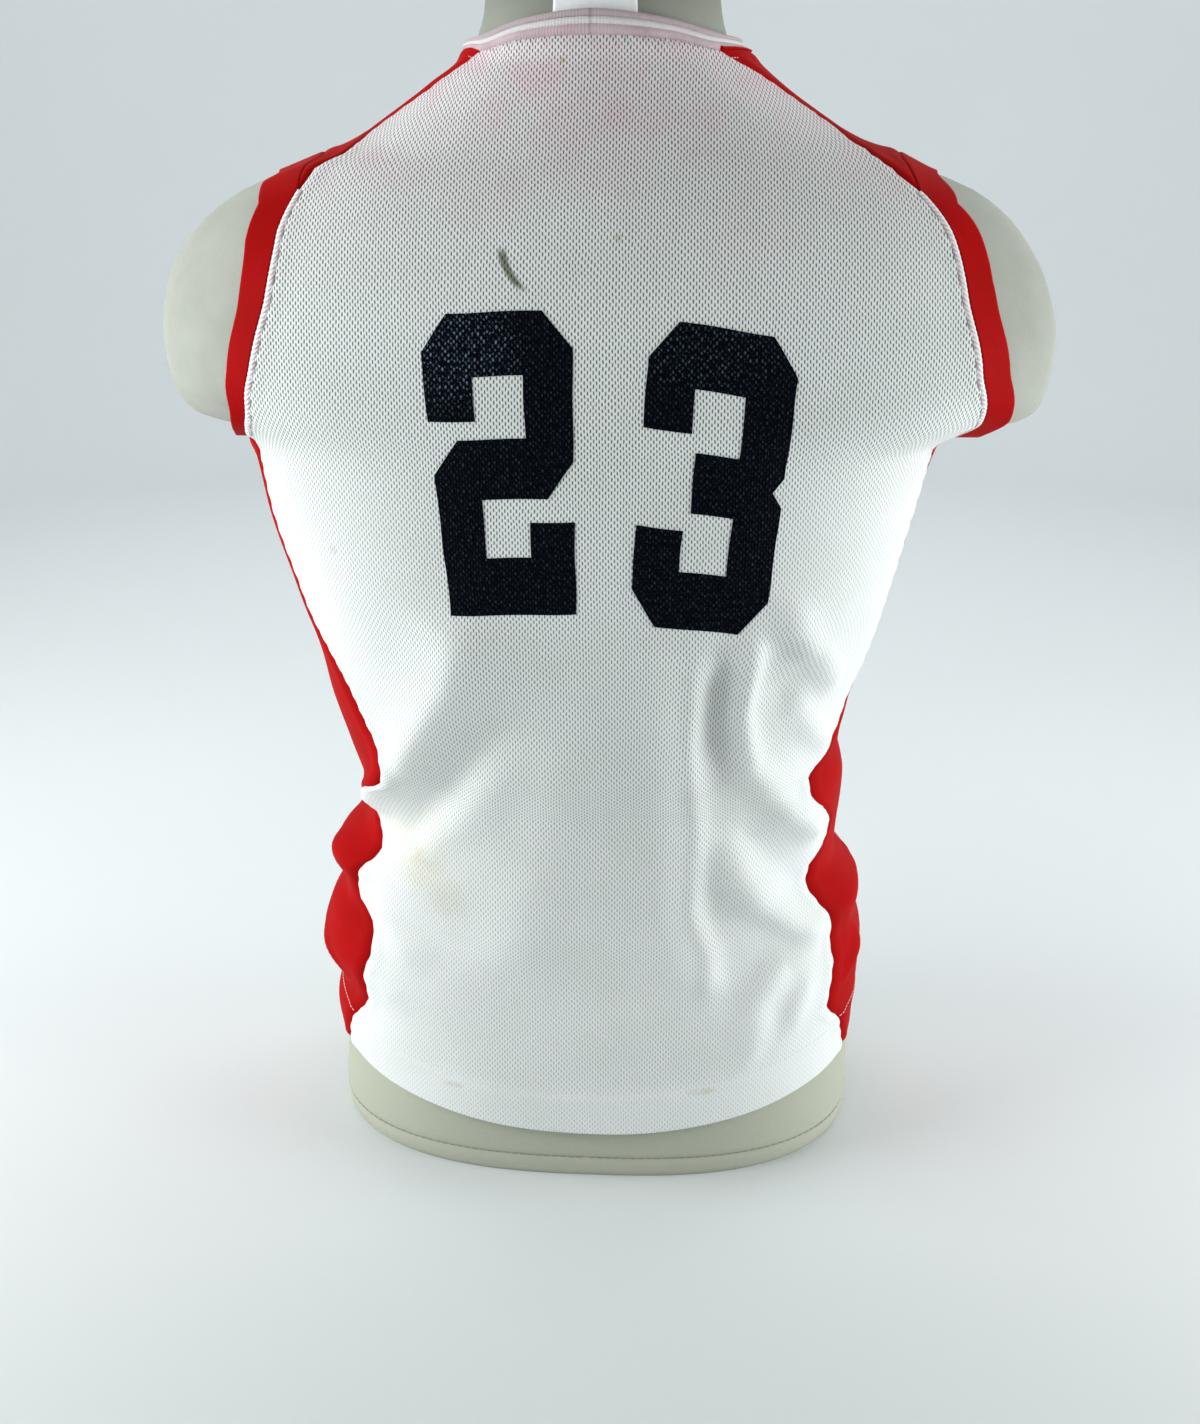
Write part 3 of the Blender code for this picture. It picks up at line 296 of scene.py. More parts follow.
# ---- the number, the stains on the back, and the glints painted on the number ----
NUMBERS = table(
    "digit top_left top_right bottom_left bottom_right",
    ("2", (-0.0885, 0.5335), (-0.0065, 0.5370), (-0.0750, 0.3705), (-0.0050, 0.3735)),
    ("3", (0.0345, 0.5335), (0.1135, 0.5210), (0.0240, 0.3685), (0.0985, 0.3590)))
TOP_BAR = ((1, 1 - CUT_U), (1 - CUT_A, 1), (CUT_A, 1), (0, 1 - CUT_U), (0, 0.66), (STEM, 0.66),
           (STEM, 1 - BAR), (1 - STEM, 1 - BAR), (1 - STEM, 3 * BAR))
DIGIT_OUTLINES = {
    "2": ((0, 0), (1, 0), (1, BAR + CUT_U), (1 - STEM, BAR + CUT_U), (1 - STEM, BAR), (STEM, BAR),
          (STEM, 2 * BAR), (1 - CUT_A, 2 * BAR), (1, 2 * BAR + CUT_U), *TOP_BAR,
          (CUT_A, 3 * BAR), (0, 3 * BAR - CUT_U)),
    "3": ((CUT_A, 0), (1 - CUT_A, 0), (1, CUT_U), (1, 0.45), (0.93, 0.5), (1, 0.55), *TOP_BAR,
          (STEM + 0.04, 3 * BAR), (STEM + 0.04, 2 * BAR), (1 - STEM, 2 * BAR), (1 - STEM, BAR),
          (STEM, BAR), (STEM, 0.34), (0, 0.34), (0, CUT_U)),
}
SPOT = "x z across up strength"           # centre and half-size, across and up
YELLOW = table(
    SPOT, (-0.116, 0.211, 0.013, 0.017, 0.45), (-0.102, 0.202, 0.017, 0.013, 0.55),
    (-0.0865, 0.189, 0.012, 0.014, 0.40), (-0.098, 0.222, 0.014, 0.020, 0.30))
TAN = table(
    SPOT, (-0.0843, 0.0625, 0.0070, 0.0022, 0.32), (0.070, 0.065, 0.0090, 0.0024, 0.36),
    (0.0169, 0.572, 0.0022, 0.0022, 0.50), (-0.145, 0.4005, 0.0030, 0.0030, 0.28),
    (-0.015, 0.659, 0.0016, 0.0016, 0.70), (-0.104, 0.210, 0.0060, 0.0050, 0.20))
PINK = table(
    SPOT, (-0.0322, 0.648, 0.020, 0.010, 0.22), (-0.1064, 0.6045, 0.024, 0.012, 0.20),
    (-0.0557, 0.595, 0.026, 0.016, 0.20), (-0.0481, 0.6345, 0.018, 0.010, 0.16),
    (0.0578, 0.6245, 0.026, 0.014, 0.22), (0.0947, 0.5805, 0.026, 0.018, 0.18),
    (0.0786, 0.561, 0.024, 0.016, 0.14), (0.0050, 0.6200, 0.045, 0.030, 0.16))
# painted glints on the film: where the lights glint, strongest at the top of the 2
GLINTS = table(SPOT, (-0.068, 0.515, 0.034, 0.030, 0.9), (0.060, 0.518, 0.045, 0.022, 0.28))
SCUFF_TOP, SCUFF_LENGTH, SCUFF_X, SCUFF_BEND = 0.5675, 0.0235, -0.0437, 25.0


# ---- reading the tables ----
def read(rows, place, column):
    """A column at places on the first one, by a cubic that never overshoots the rows."""
    places = np.array([row[0] for row in rows], float)
    values = np.array([getattr(row, column) for row in rows], float)
    place = np.clip(place, places[0], places[-1])
    low = np.clip(np.searchsorted(places, place, side="right") - 1, 0, len(places) - 2)
    step = np.diff(places)
    slope = np.diff(values) / step
    before, after = slope[:-1], slope[1:]
    same = before * after > 0
    inner = np.where(same, 2 * before * after / np.where(same, before + after, 1), 0)
    tangent = np.concatenate([slope[:1], inner, slope[-1:]])
    share = (place - places[low]) / step[low]
    rest = 1 - share
    return (values[low] * (1 + 2 * share) * rest ** 2 + tangent[low] * step[low] * share * rest ** 2
            + values[low + 1] * share ** 2 * (3 - 2 * share)
            - tangent[low + 1] * step[low] * share ** 2 * rest)


def hill(x, centre, width):
    """A smooth hill one high."""
    return np.exp(-((x - centre) / width) ** 2)


def ramp(x, start, run):
    """0 up to start, then a straight climb to 1."""
    return np.clip((x - start) / run, 0, 1)


def half_sizes(sections, x, y, height, extra):
    """Half-width and depth on the sides that x and y lie on, and the power."""
    side, depth = (np.where(value < 0, read(sections, height, low), read(sections, height, high))
                   + extra for value, low, high in ((x, "left", "right"), (y, "back", "front")))
    return side, depth, read(sections, height, "power")


def on_section(sections, angle, height, lift=0.0):
    """Points of sections at angles and heights, moved out by lift."""
    angle, height = np.broadcast_arrays(np.asarray(angle, float), np.asarray(height, float))
    sine, cosine = np.sin(np.radians(angle)), np.cos(np.radians(angle))
    side, depth, power = half_sizes(sections, sine, -cosine, height, lift)
    bearing = np.arctan2(side * sine, depth * cosine)
    across, along = np.sin(bearing), np.cos(bearing)
    reach = (np.abs(across / side) ** power + np.abs(along / depth) ** power) ** (-1 / power)
    return np.stack([reach * across, -reach * along, height], -1)


def wrap(angle):
    """The same angle between -180 and 180."""
    return (angle + 180) % 360 - 180


def fold_rise(angle, height):
    """How far the creases lift the cloth."""
    total = np.zeros(np.broadcast(angle, height).shape)
    for fold in FOLDS:
        nearest = np.full(total.shape, np.inf)
        width = place = travel = 0.0
        for (a0, h0, w0), (a1, h1, w1) in zip(fold.path, fold.path[1:]):
            x, y = np.radians(wrap(a0 - angle)) * FOLD_RADIUS, h0 - height
            run_x, run_y = math.radians(wrap(a1 - a0)) * FOLD_RADIUS, h1 - h0
            run = math.hypot(run_x, run_y)
            inside = np.clip(-(x * run_x + y * run_y) / run ** 2, 0, 1)
            distance = np.hypot(x + inside * run_x, y + inside * run_y)
            closer = distance < nearest
            nearest = np.where(closer, distance, nearest)
            width = np.where(closer, w0 + (w1 - w0) * inside, width)
            place = np.where(closer, travel + inside * run, place)
            travel += run
        fade = ramp(np.minimum(place, travel - place), 0, FOLD_END_FADE)
        total += fold.rise * (0.12 + 0.88 * fade * fade * (3 - 2 * fade)) * hill(nearest, 0, width)
    return total


def ripple_rise(angle, height):
    """Soft unevenness of cloth that is not pulled tight."""
    slack = 0.35 + 0.65 * hill(height, 0.20, 0.13)
    turn, climb = np.radians(angle), 2 * math.pi * height
    return slack * sum(ripple.rise * np.sin(ripple.turns_angle * turn + ripple.turns_height * climb
                                            + ripple.phase) for ripple in RIPPLES)


def on_jersey(angle, height, lift=0.0):
    """Points of the cloth's middle surface, creases included."""
    rise = fold_rise(angle, height) + ripple_rise(angle, height)
    return on_section(JERSEY_SECTIONS, angle, height, rise + lift)


def turned(angle, height):
    """The angle on the jersey once its slip round the body is added."""
    return angle + read(TURNS, height, "angle")


def side_name(side):
    """The name of a side, -1 for left and +1 for right."""
    return "left" if side < 0 else "right"


def hem_lift(angle, row_height):
    """How much a row lies above its height at the centre back."""
    share = np.maximum(0.0, 1 - (row_height - HEM_BACK) / (HEM_RISE_REACH - HEM_BACK))
    return HEM_RISE * np.sin(np.radians(angle)) ** 2 * share


def neck_height(angle):
    """Height of the collar seam."""
    return read(NECKLINE, wrap(angle), "seam")


def underarm_height(share):
    """Height of the armhole seam below the arm."""
    return UNDERARM_HEIGHT + UNDERARM_LIFT * (1 - 2 * share) ** 2


def side_seam(side, height):
    """Angle of the back panel's side edge."""
    return turned(side * read(SIDE_SEAMS, height, side_name(side)), height)


def front_seam(side, height):
    """Angle of the front panel's side edge."""
    share = np.maximum(0.0, (height - FRONT_SEAM_BEND) / (SIDE_SEAM_TOP - FRONT_SEAM_BEND))
    angle = FRONT_SEAM_ANGLE + (90 + UNDERARM_HALF_ANGLE - FRONT_SEAM_ANGLE) * share
    return turned(side * angle, height)


def armhole_width(side, height):
    """Half the armhole's angle, evened out over the heights near each one."""
    height = np.asarray(height, float)
    room = np.minimum(0.45 * (height - SIDE_SEAM_TOP), SHOULDER_CORNER - height)
    room = np.clip(room, 0, ARMHOLE_EVENED)
    return np.mean([read(ARMHOLE, height + share * room, side_name(side))
                    for share in np.linspace(-1, 1, 9)], axis=0)


def by_height(height, seam, armhole, shoulder):
    """A panel edge's angle: side seam, then armhole, then shoulder seam."""
    return np.where(height <= SIDE_SEAM_TOP, seam,
                    np.where(height <= SHOULDER_CORNER, armhole, shoulder))


def back_edge(side, height):
    """Angle of the back panel's edge."""
    armhole = turned(side * (90 - armhole_width(side, height)), height)
    shoulder = turned(side * read(SHOULDER_SEAM, height, side_name(side)), height)
    return by_height(height, side_seam(side, height), armhole, shoulder)


def front_edge(side, height):
    """Angle of the front panel's edge."""
    armhole = turned(side * (90 + armhole_width(side, height)), height)
    share = (height - SHOULDER_CORNER) / (NECK_CORNER - SHOULDER_CORNER)
    corner = 90 + read(ARMHOLE, SHOULDER_CORNER, side_name(side))
    shoulder = turned(side * (corner + (FRONT_NECK - corner) * share), height)
    return by_height(height, front_seam(side, height), armhole, shoulder)


# ---- grids of points ----
def stepped(start, stop, step):
    """Even places from start to stop, both included."""
    return np.linspace(start, stop, max(2, round(abs(stop - start) / step) + 1))


def lower_rows():
    """Row heights from the hem to the top of the side seams, close together at the hem."""
    hem = HEM_BACK + np.array([0, 0.0005, 0.0012])
    fold = stepped(HEM_BACK + 0.0025, HEM_BACK + 0.034, 0.0015)
    return np.concatenate([hem, fold, stepped(HEM_BACK + 0.0365, SIDE_SEAM_TOP, ROW_STEP)])


def shares(width, step):
    """Shares across a panel, closer together at both edges, where it turns into its seams."""
    near = np.array([0, 0.0007, 0.0015, 0.0026, 0.0042, 0.0064]) / width
    return np.concatenate([near[:-1], stepped(near[-1], 1 - near[-1], step / width),
                           1 - near[-2::-1]])


def body_panel(edge, neck_corner):
    """Angles and heights of the back or the front, from the hem up to the collar."""
    upper = shares(SHOULDER_EDGE, COLUMN_STEP)[6:]
    rows = np.concatenate([lower_rows(), stepped(SIDE_SEAM_TOP, SHOULDER_CORNER, ROW_STEP)[1:],
                           SHOULDER_CORNER + (neck_corner - SHOULDER_CORNER) * upper])[:, None]
    share = shares(BODY_WIDTH, ROW_STEP)
    around = 360 if edge is front_edge else 0

    def across(level):
        first, last = edge(-1, level) + around, edge(1, level)
        return first + (last - first) * share

    climb = np.maximum(0, (rows - SHOULDER_CORNER) / (neck_corner - SHOULDER_CORNER))
    level = rows + hem_lift(across(rows), rows)
    return across(level), level + climb * (neck_height(across(neck_corner)) - neck_corner)


def side_panel(side):
    """Angles and heights of the panel under the arm, from the back seam to the front seam."""
    rows = lower_rows()[:, None]
    share = shares(SIDE_WIDTH, COLUMN_STEP)

    def across(level):
        return side_seam(side, level) * (1 - share) + front_seam(side, level) * share

    climb = np.maximum(0, (rows - UNDERARM_BEND) / (SIDE_SEAM_TOP - UNDERARM_BEND))
    level = rows + hem_lift(across(rows), rows)
    return across(level), level + climb ** 3 * (underarm_height(share) - SIDE_SEAM_TOP)


def shoulder_panel(side):
    """Angles and heights over the shoulder, from the armhole to the collar, back to front."""
    share = shares(SHOULDER_LENGTH, COLUMN_STEP)[:, None]
    across = shares(SHOULDER_WIDTH, COLUMN_STEP)
    back = SHOULDER_CORNER + (NECK_CORNER - SHOULDER_CORNER) * share
    front = SHOULDER_CORNER + (neck_height(FRONT_NECK) - SHOULDER_CORNER) * share
    ridge = SHOULDER_TOP + (neck_height(90) - SHOULDER_TOP) * share ** 1.35
    first, last = back_edge(side, back), front_edge(side, front)
    angle = first + (last - first) * across
    power = 2 + 2 * (1 - share) ** 4
    level = (back + (front - back) * across
             + (ridge - (back + front) / 2) * (1 - np.abs(1 - 2 * across) ** power))
    return angle, level + (neck_height(angle) - level) * ramp(share, 0.8, 0.2) ** 2


def armhole_loop(side):
    """Angles and heights of the armhole seam, once round: underarm, back, shoulder, front."""
    under, over = stepped(0, 1, 0.028)[:-1], stepped(0, 1, 0.018)[:-1]
    climb = stepped(SIDE_SEAM_TOP, SHOULDER_CORNER, COLUMN_STEP)
    first, last = back_edge(side, SHOULDER_CORNER), front_edge(side, SHOULDER_CORNER)
    angle = [front_seam(side, SIDE_SEAM_TOP) * (1 - under) + side_seam(side, SIDE_SEAM_TOP) * under,
             back_edge(side, climb[:-1]), first + (last - first) * over,
             front_edge(side, climb[:0:-1])]
    height = [underarm_height(under), climb[:-1],
              SHOULDER_CORNER + SHOULDER_DROP * (1 - (1 - 2 * over) ** 4), climb[:0:-1]]
    return np.concatenate(angle), np.concatenate(height)


def clear_of_stub(points, clearance):
    """Points moved out sideways where they lie too near the shoulder stub."""
    x, y, height = np.moveaxis(points, -1, 0)
    side, depth, power = half_sizes(FORM_SHOULDERS, x, y, np.maximum(height, STUB_UNDERSIDE),
                                    clearance)
    fill = (np.abs(x / side) ** power + np.abs(y / depth) ** power) ** (1 / power)
    push = np.where((fill < 1) & (height >= STUB_UNDERSIDE), 1 / np.maximum(fill, 1e-6), 1)
    return points * np.stack([push, push, np.ones_like(push)], -1)


def unit(vectors):
    """Vectors made one long."""
    return vectors / np.maximum(np.linalg.norm(vectors, axis=-1, keepdims=True), 1e-12)


def level_out(points):
    """Level directions from the vertical axis out to points."""
    return unit(points * np.array([1, 1, 0]))


def travelled(points, axis=0):
    """Distances along an axis of the points, from its start."""
    steps = np.linalg.norm(np.diff(points, axis=axis), axis=-1)
    return np.insert(np.cumsum(steps, axis), 0, 0, axis)


def seam_frame(angle, height, side):
    """Points of a seam line, their outward normals, and the way into the body's cloth."""
    points = on_jersey(angle, height)
    around = on_jersey(angle + 0.3, height) - on_jersey(angle - 0.3, height)
    rising = on_jersey(angle, height + 0.0008) - on_jersey(angle, height - 0.0008)
    normal = unit(np.cross(around, rising))
    into = unit(np.cross(np.gradient(points, axis=0), normal))
    return points, normal, -into if np.sum(into[:, 0]) * side > 0 else into


# ---- walls of cloth ----
def grid_normals(points, closed):
    """Outward normals of a grid of points."""
    across = (np.roll(points, -1, 1) - np.roll(points, 1, 1) if closed
              else np.gradient(points, axis=1))
    return unit(np.cross(across, np.gradient(points, axis=0)))


def knit_place(points, up):
    """Where the knit's wales and courses run: the wales upright and the courses level."""
    wale = travelled(points[..., :2], 1)
    x = points[..., 0] * np.sign(points[0, -1, 0] - points[0, 0, 0])
    wale -= np.array([np.interp(0, *row) for row in zip(x, wale)])[:, None]
    centre = points.shape[1] // 2
    course = np.interp(points[..., 2], points[:, centre, 2], up[:, centre])
    course += 1.2 * np.maximum(points[..., 2] - points[-1, centre, 2], 0)
    return np.stack([wale, course], -1)


def add_object(name, data):
    """An object in the scene."""
    thing = bpy.data.objects.new(name, data)
    bpy.context.scene.collection.objects.link(thing)
    return thing


def make_mesh(name, verts, faces, uv, material):
    """A smooth mesh object, with a UV layer in metres if one is given."""
    mesh = bpy.data.meshes.new(name)
    mesh.from_pydata(verts.tolist(), [], faces)
    if uv is not None:
        loops = np.zeros(len(mesh.loops), np.int32)
        mesh.loops.foreach_get("vertex_index", loops)
        layer = mesh.uv_layers.new(name="cloth")
        layer.data.foreach_set("uv", uv[loops].astype(np.float32).ravel())
    mesh.shade_smooth()
    mesh.materials.append(material)
    return add_object(name, mesh)


def grid_faces(rows, columns, start, closed, flip=False):
    """Corner numbers of the quads of a grid whose first point is number start."""
    r = np.arange(rows - 1)[:, None]
    c = np.arange(columns if closed else columns - 1)
    after = (c + 1) % columns
    corners = [r * columns + c, r * columns + after, (r + 1) * columns + after,
               (r + 1) * columns + c]
    if flip:
        corners.reverse()
    return start + np.stack([corner.ravel() for corner in corners], -1)


def capped(rows, columns, start=0):
    """Faces of a tube of rings of points, closed at both ends."""
    last = start + (rows - 1) * columns
    return grid_faces(rows, columns, start, True).tolist() + [
        list(range(start, start + columns))[::-1], list(range(last, last + columns))]


def wall(name, points, uv, thickness, material, closed=False):
    """A closed wall of cloth over a grid of points, with rounded edges."""
    rows, columns = points.shape[:2]
    count = rows * columns
    thickness = np.broadcast_to(thickness, (rows, columns))[..., None]
    out = grid_normals(points, closed) * thickness / 2
    verts = [(points + out).reshape(-1, 3), (points - out).reshape(-1, 3)]
    uvs = [uv.reshape(-1, 2)] * 2
    faces = [grid_faces(rows, columns, 0, closed), grid_faces(rows, columns, count, closed, True)]
    number = np.arange(count).reshape(rows, columns)
    rims = [number[0], number[-1][::-1]] if closed else [np.concatenate(
        [number[0, :-1], number[:-1, -1], number[-1, :0:-1], number[:0:-1, 0]])]
    start = 2 * count
    for rim in rims:
        r, c = np.divmod(rim, columns)
        inner = np.clip(r, 1, rows - 2), c if closed else np.clip(c, 1, columns - 2)
        verts.append(points[r, c] + unit(points[r, c] - points[inner]) * thickness[r, c] * RIM)
        uvs.append(uv[r, c])
        ring = np.arange(len(rim)) + start
        after, ring_after = np.roll(rim, -1), np.roll(ring, -1)
        faces.append(np.stack([ring, ring_after, after, rim], -1))
        faces.append(np.stack([rim + count, after + count, ring_after, ring], -1))
        start += len(rim)
    return make_mesh(name, np.concatenate(verts), np.concatenate(faces).tolist(),
                     np.concatenate(uvs), material)


def rings(path, side, out, width, height, sides, sink=0.0):
    """Points of an oval section carried along a path; side and out are its own directions."""
    turn = np.linspace(0, 2 * math.pi, sides, endpoint=False)[:, None]
    width, height, sink = (np.broadcast_to(size, len(path))[:, None, None]
                           for size in (width, height, sink))
    return (path[:, None] + side[:, None] * np.cos(turn) * width / 2
            + out[:, None] * (np.sin(turn) * height / 2 - sink))


def tube(name, path, side, out, width, height, material, sides):
    """A tube of oval section along a path."""
    verts = rings(path, side, out, width, height, sides).reshape(-1, 3)
    turn = np.linspace(0, 2 * math.pi, sides, endpoint=False)
    uv = np.stack(np.broadcast_arrays(travelled(path)[:, None], turn * 0.0007), -1)
    return make_mesh(name, verts, capped(len(path), sides), uv.reshape(-1, 2), material)


def stitches(name, path, out, stitch, material):
    """A row of separate stitches along an open path, each a short flat bead of thread."""
    length, gap, width, height = stitch
    share = np.array([0, 0.12, 0.5, 0.88, 1.0])
    size = np.array([0.25, 0.85, 1.0, 0.85, 0.25])
    sides = 6
    sink = (np.abs(share - 0.5) * 2) ** 2 * height * 0.4
    distance = travelled(path)
    verts, faces = [], []
    for index in range(int(distance[-1] / (length + gap))):
        places = index * (length + gap) + share * length
        middle, away = (np.stack([np.interp(places, distance, column) for column in line.T], -1)
                        for line in (path, out))
        side = unit(np.cross(unit(middle[-1] - middle[0]), away))
        verts.append(rings(middle, side, away, size * width, size * height, sides, sink))
        faces += capped(len(share), sides, index * len(share) * sides)
    return make_mesh(name, np.concatenate(verts).reshape(-1, 3), faces, None, material)


# ---- materials ----
class Wire:
    """The output of a node.  Sums with it make more nodes, by the methods set below."""

    def __init__(self, maker, socket):
        self.maker, self.socket = maker, socket

    def math(self, operation, *others):
        """A math node's output, this one coming first."""
        return self.maker.node("Math", enumerate((self, *others)), operation=operation)

    def smooth(self, low, high, out_low=0.0, out_high=1.0):
        """This value mapped smoothly between two others."""
        return self.maker.node("MapRange", enumerate((self, low, high, out_low, out_high)),
                               interpolation_type="SMOOTHSTEP")


for method, operation in (("add", "ADD"), ("sub", "SUBTRACT"), ("mul", "MULTIPLY"),
                          ("truediv", "DIVIDE"), ("lt", "LESS_THAN"), ("abs", "ABSOLUTE")):
    setattr(Wire, f"__{method}__", partialmethod(Wire.math, operation))


class Material:
    """A Principled material and the nodes that feed it."""

    def __init__(self, name, color, roughness, specular=0.3, sheen=0.0, sheen_roughness=0.4):
        self.material = bpy.data.materials.new(name)
        self.material.use_nodes = True
        self.tree = self.material.node_tree
        self.set("Base Color", color)
        self.set("Roughness", roughness)
        self.set("Specular IOR Level", specular)
        self.set("Sheen Weight", sheen)
        self.set("Sheen Roughness", sheen_roughness)

    def feed(self, socket, value):
        """Link an output to a socket, or set the socket's value."""
        if isinstance(value, Wire):
            self.tree.links.new(value.socket, socket)
        else:
            socket.default_value = (*value, 1) if socket.type == "RGBA" else value

    def set(self, name, value):
        """Feed an input of the shader."""
        self.feed(self.tree.nodes["Principled BSDF"].inputs[name], value)

    def color(self, share, first, second):
        """Make the shader's colour a mix of two."""
        self.set("Base Color", self.mix(share, first, second))

    def node(self, kind, inputs=(), output=0, **settings):
        """An output of a new node whose inputs are given as pairs."""
        node = self.tree.nodes.new("ShaderNode" + kind)
        for name, value in settings.items():
            setattr(node, name, value)
        for place, value in inputs:
            self.feed(node.inputs[place], value)
        return Wire(self, node.outputs[output])

    def mix(self, share, first, second):
        """Two colours mixed."""
        return self.node("Mix", ((0, share), (6, first), (7, second)), 2, data_type="RGBA")

    def attribute(self, name):
        """A value stored on the mesh."""
        return self.node("Attribute", output="Fac", attribute_name=name)

    def split(self, place):
        """The three numbers of a vector."""
        first = self.node("SeparateXYZ", [(0, place)])
        return [Wire(self, socket) for socket in first.socket.node.outputs]

    def cloth_place(self):
        """The two lengths over the cloth, across and up, and both as a vector."""
        place = self.node("UVMap", uv_map="cloth")
        return (*self.split(place)[:2], place)

    def position(self):
        """The place in the object's own space."""
        return self.node("TexCoord", output="Object")

    def noise(self, place, scale, detail=2.0, roughness=0.5, stretch=None):
        """Noise between 0 and 1 at a place, stretched if asked."""
        if stretch:
            place = self.node("Mapping", (("Vector", place), ("Scale", stretch)))
        return self.node("TexNoise", (("Vector", place), ("Scale", scale), ("Detail", detail),
                                      ("Roughness", roughness)))

    def relief(self, height, distance, strength):
        """Roughen the shader's normal by a height."""
        self.set("Normal", self.node("Bump", (("Strength", strength), ("Distance", distance),
                                              ("Height", height))))

    def stains_and_glints(self, stains_and_glints):
        """The strength of some stains and painted glints at a place on the back, each fading out to
        its half-size.
        """
        x, y, z = self.split(self.position())
        total = 0.0
        for mark in stains_and_glints:
            across, up = (x - mark.x) / mark.across, (z - mark.z) / mark.up
            away = across * across + up * up
            total = away.smooth(0.05, 1.6, mark.strength, 0.0).math("MAXIMUM", total)
        return total * (y < 0.0)

    def scuff(self):
        """1 in the curved scuff at the top of the back and 0 round it."""
        x, y, z = self.split(self.position())
        down = (z - SCUFF_TOP) * -1.0
        away = abs(x - SCUFF_X - down * down * SCUFF_BEND)
        ends = down.smooth(-0.001, 0.005) * down.smooth(SCUFF_LENGTH - 0.006, SCUFF_LENGTH,
                                                        1.0, 0.0)
        return ends * (y < 0.0) * away.smooth(0.0010, 0.0034, 1.0, 0.0)

    def pin_holes(self, width, height):
        """1 in the staggered pin holes of a mesh knit and 0 between them."""
        u, v, place = self.cloth_place()
        wobble = (self.noise(place, 90.0) - 0.5) * 0.5
        places = ((u / KNIT_PITCH + wobble, width / KNIT_PITCH),
                  (v / KNIT_RISE + wobble, height / KNIT_RISE))
        near = []
        for shift in (0.0, 0.5):
            across, up = (((value + shift).math("FRACT") - 0.5) / half for value, half in places)
            near.append(across * across + up * up)
        return near[0].math("MINIMUM", near[1]).smooth(0.45, 1.35, 1.0, 0.0)


def white_mesh():
    """White pin-hole mesh, a little soiled, with a pink cast near the dyed pieces and painted shade
    in its pin holes.
    """
    m = Material("white_mesh", (0.80, 0.82, 0.82), 0.72, 0.25, 0.12, 0.5)
    place = m.cloth_place()[2]
    # painted shade: how dark the pin holes are painted is read from the stored value open
    holes = m.pin_holes(0.00045, 0.00122) * m.attribute("open")
    cloud = m.noise(place, 14.0, 4.0, 0.6).smooth(0.35, 0.75)
    base = m.mix(cloud, (0.815, 0.835, 0.835), (0.775, 0.800, 0.785))
    mottle = m.noise(place, 34.0, 4.0, 0.6).smooth(0.30, 0.72, 0.40, 1.20)
    cast = (m.attribute("pink") + m.stains_and_glints(PINK)) * mottle
    base = m.mix(cast.math("MINIMUM", 1.0), base, (0.82, 0.62, 0.68))
    patchy = m.noise(place, 220.0, 3.0, 0.7).smooth(0.30, 0.62, 0.35, 1.0)
    base = m.mix(m.stains_and_glints(YELLOW) * patchy, base, (0.70, 0.66, 0.50))
    base = m.mix(m.stains_and_glints(TAN) * patchy, base, (0.50, 0.36, 0.22))
    scuff = m.scuff()
    base = m.mix(scuff * 0.85, base, (0.20, 0.22, 0.12))
    # painted shade: the pin holes are coloured dark grey-green, as the shaded form seen through
    # them, darker still in the scuff
    deep = m.mix(scuff, (0.10, 0.12, 0.11), (0.002, 0.004, 0.001))
    m.color(holes.math("MAXIMUM", scuff * 0.35), base, deep)
    yarn = m.noise(place, 1500.0, 2.0, 0.6, (1.0, 0.35, 1.0))
    m.relief(yarn * 0.25 - holes, 0.00035, 0.8)
    return m.material


def red_knit():
    """Smooth red warp knit with fine ribs and a slight sheen."""
    m = Material("red_knit", (0.38, 0.003, 0.0035), 0.65, 0.03, 0.04, 0.35)
    m.set("Sheen Tint", (1.0, 0.05, 0.05))
    across, _, place = m.cloth_place()
    ribs = (across * (2 * math.pi / 0.0011)).math("SINE")
    yarn = m.noise(place, 1300.0, 2.0, 0.6, (1.0, 0.4, 1.0))
    cloud = m.noise(place, 22.0, 3.0).smooth(0.3, 0.75)
    m.color(cloud, (0.40, 0.0030, 0.0035), (0.34, 0.0022, 0.0026))
    m.relief(ribs * 0.12 + yarn * 0.5, 0.00022, 0.7)
    return m.material


def collar_knit():
    """Rib knit that has taken a pink cast, with painted shade along its fold and the ridge below it
    pale.
    """
    m = Material("collar_knit", (0.60, 0.50, 0.52), 0.78, 0.2, 0.12, 0.5)
    across, up, place = m.cloth_place()
    ribs = (across * (2 * math.pi / 0.0018)).math("SINE")
    cloud = m.noise(place, 60.0, 3.0, 0.5, (1.0, 0.014, 1.0)).smooth(0.3, 0.7)
    base = m.mix(cloud, (0.58, 0.46, 0.49), (0.50, 0.37, 0.41))
    base = m.mix(up.smooth(0.40, 0.50), base, (0.68, 0.65, 0.66))
    # painted shade: a dark band along the fold near the collar's top
    base = m.mix(up.smooth(0.68, 0.74), base, (0.24, 0.18, 0.20))
    m.color(up.smooth(0.80, 0.86), base, (0.46, 0.37, 0.395))
    yarn = m.noise(place, 1200.0, 2.0, 0.6, (1.0, 0.014, 1.0))
    m.relief(ribs * 0.4 + yarn, 0.00030, 0.7)
    return m.material


def label_satin():
    """Plain white woven satin."""
    m = Material("label_satin", (0.84, 0.86, 0.87), 0.42, 0.4, 0.2, 0.3)
    weave = m.noise(m.position(), 1800.0, 1.0, 0.5, (0.15, 0.15, 1.0))
    m.color(weave.smooth(0.3, 0.7), (0.86, 0.88, 0.89), (0.80, 0.82, 0.83))
    m.relief(weave, 0.00008, 0.5)
    return m.material


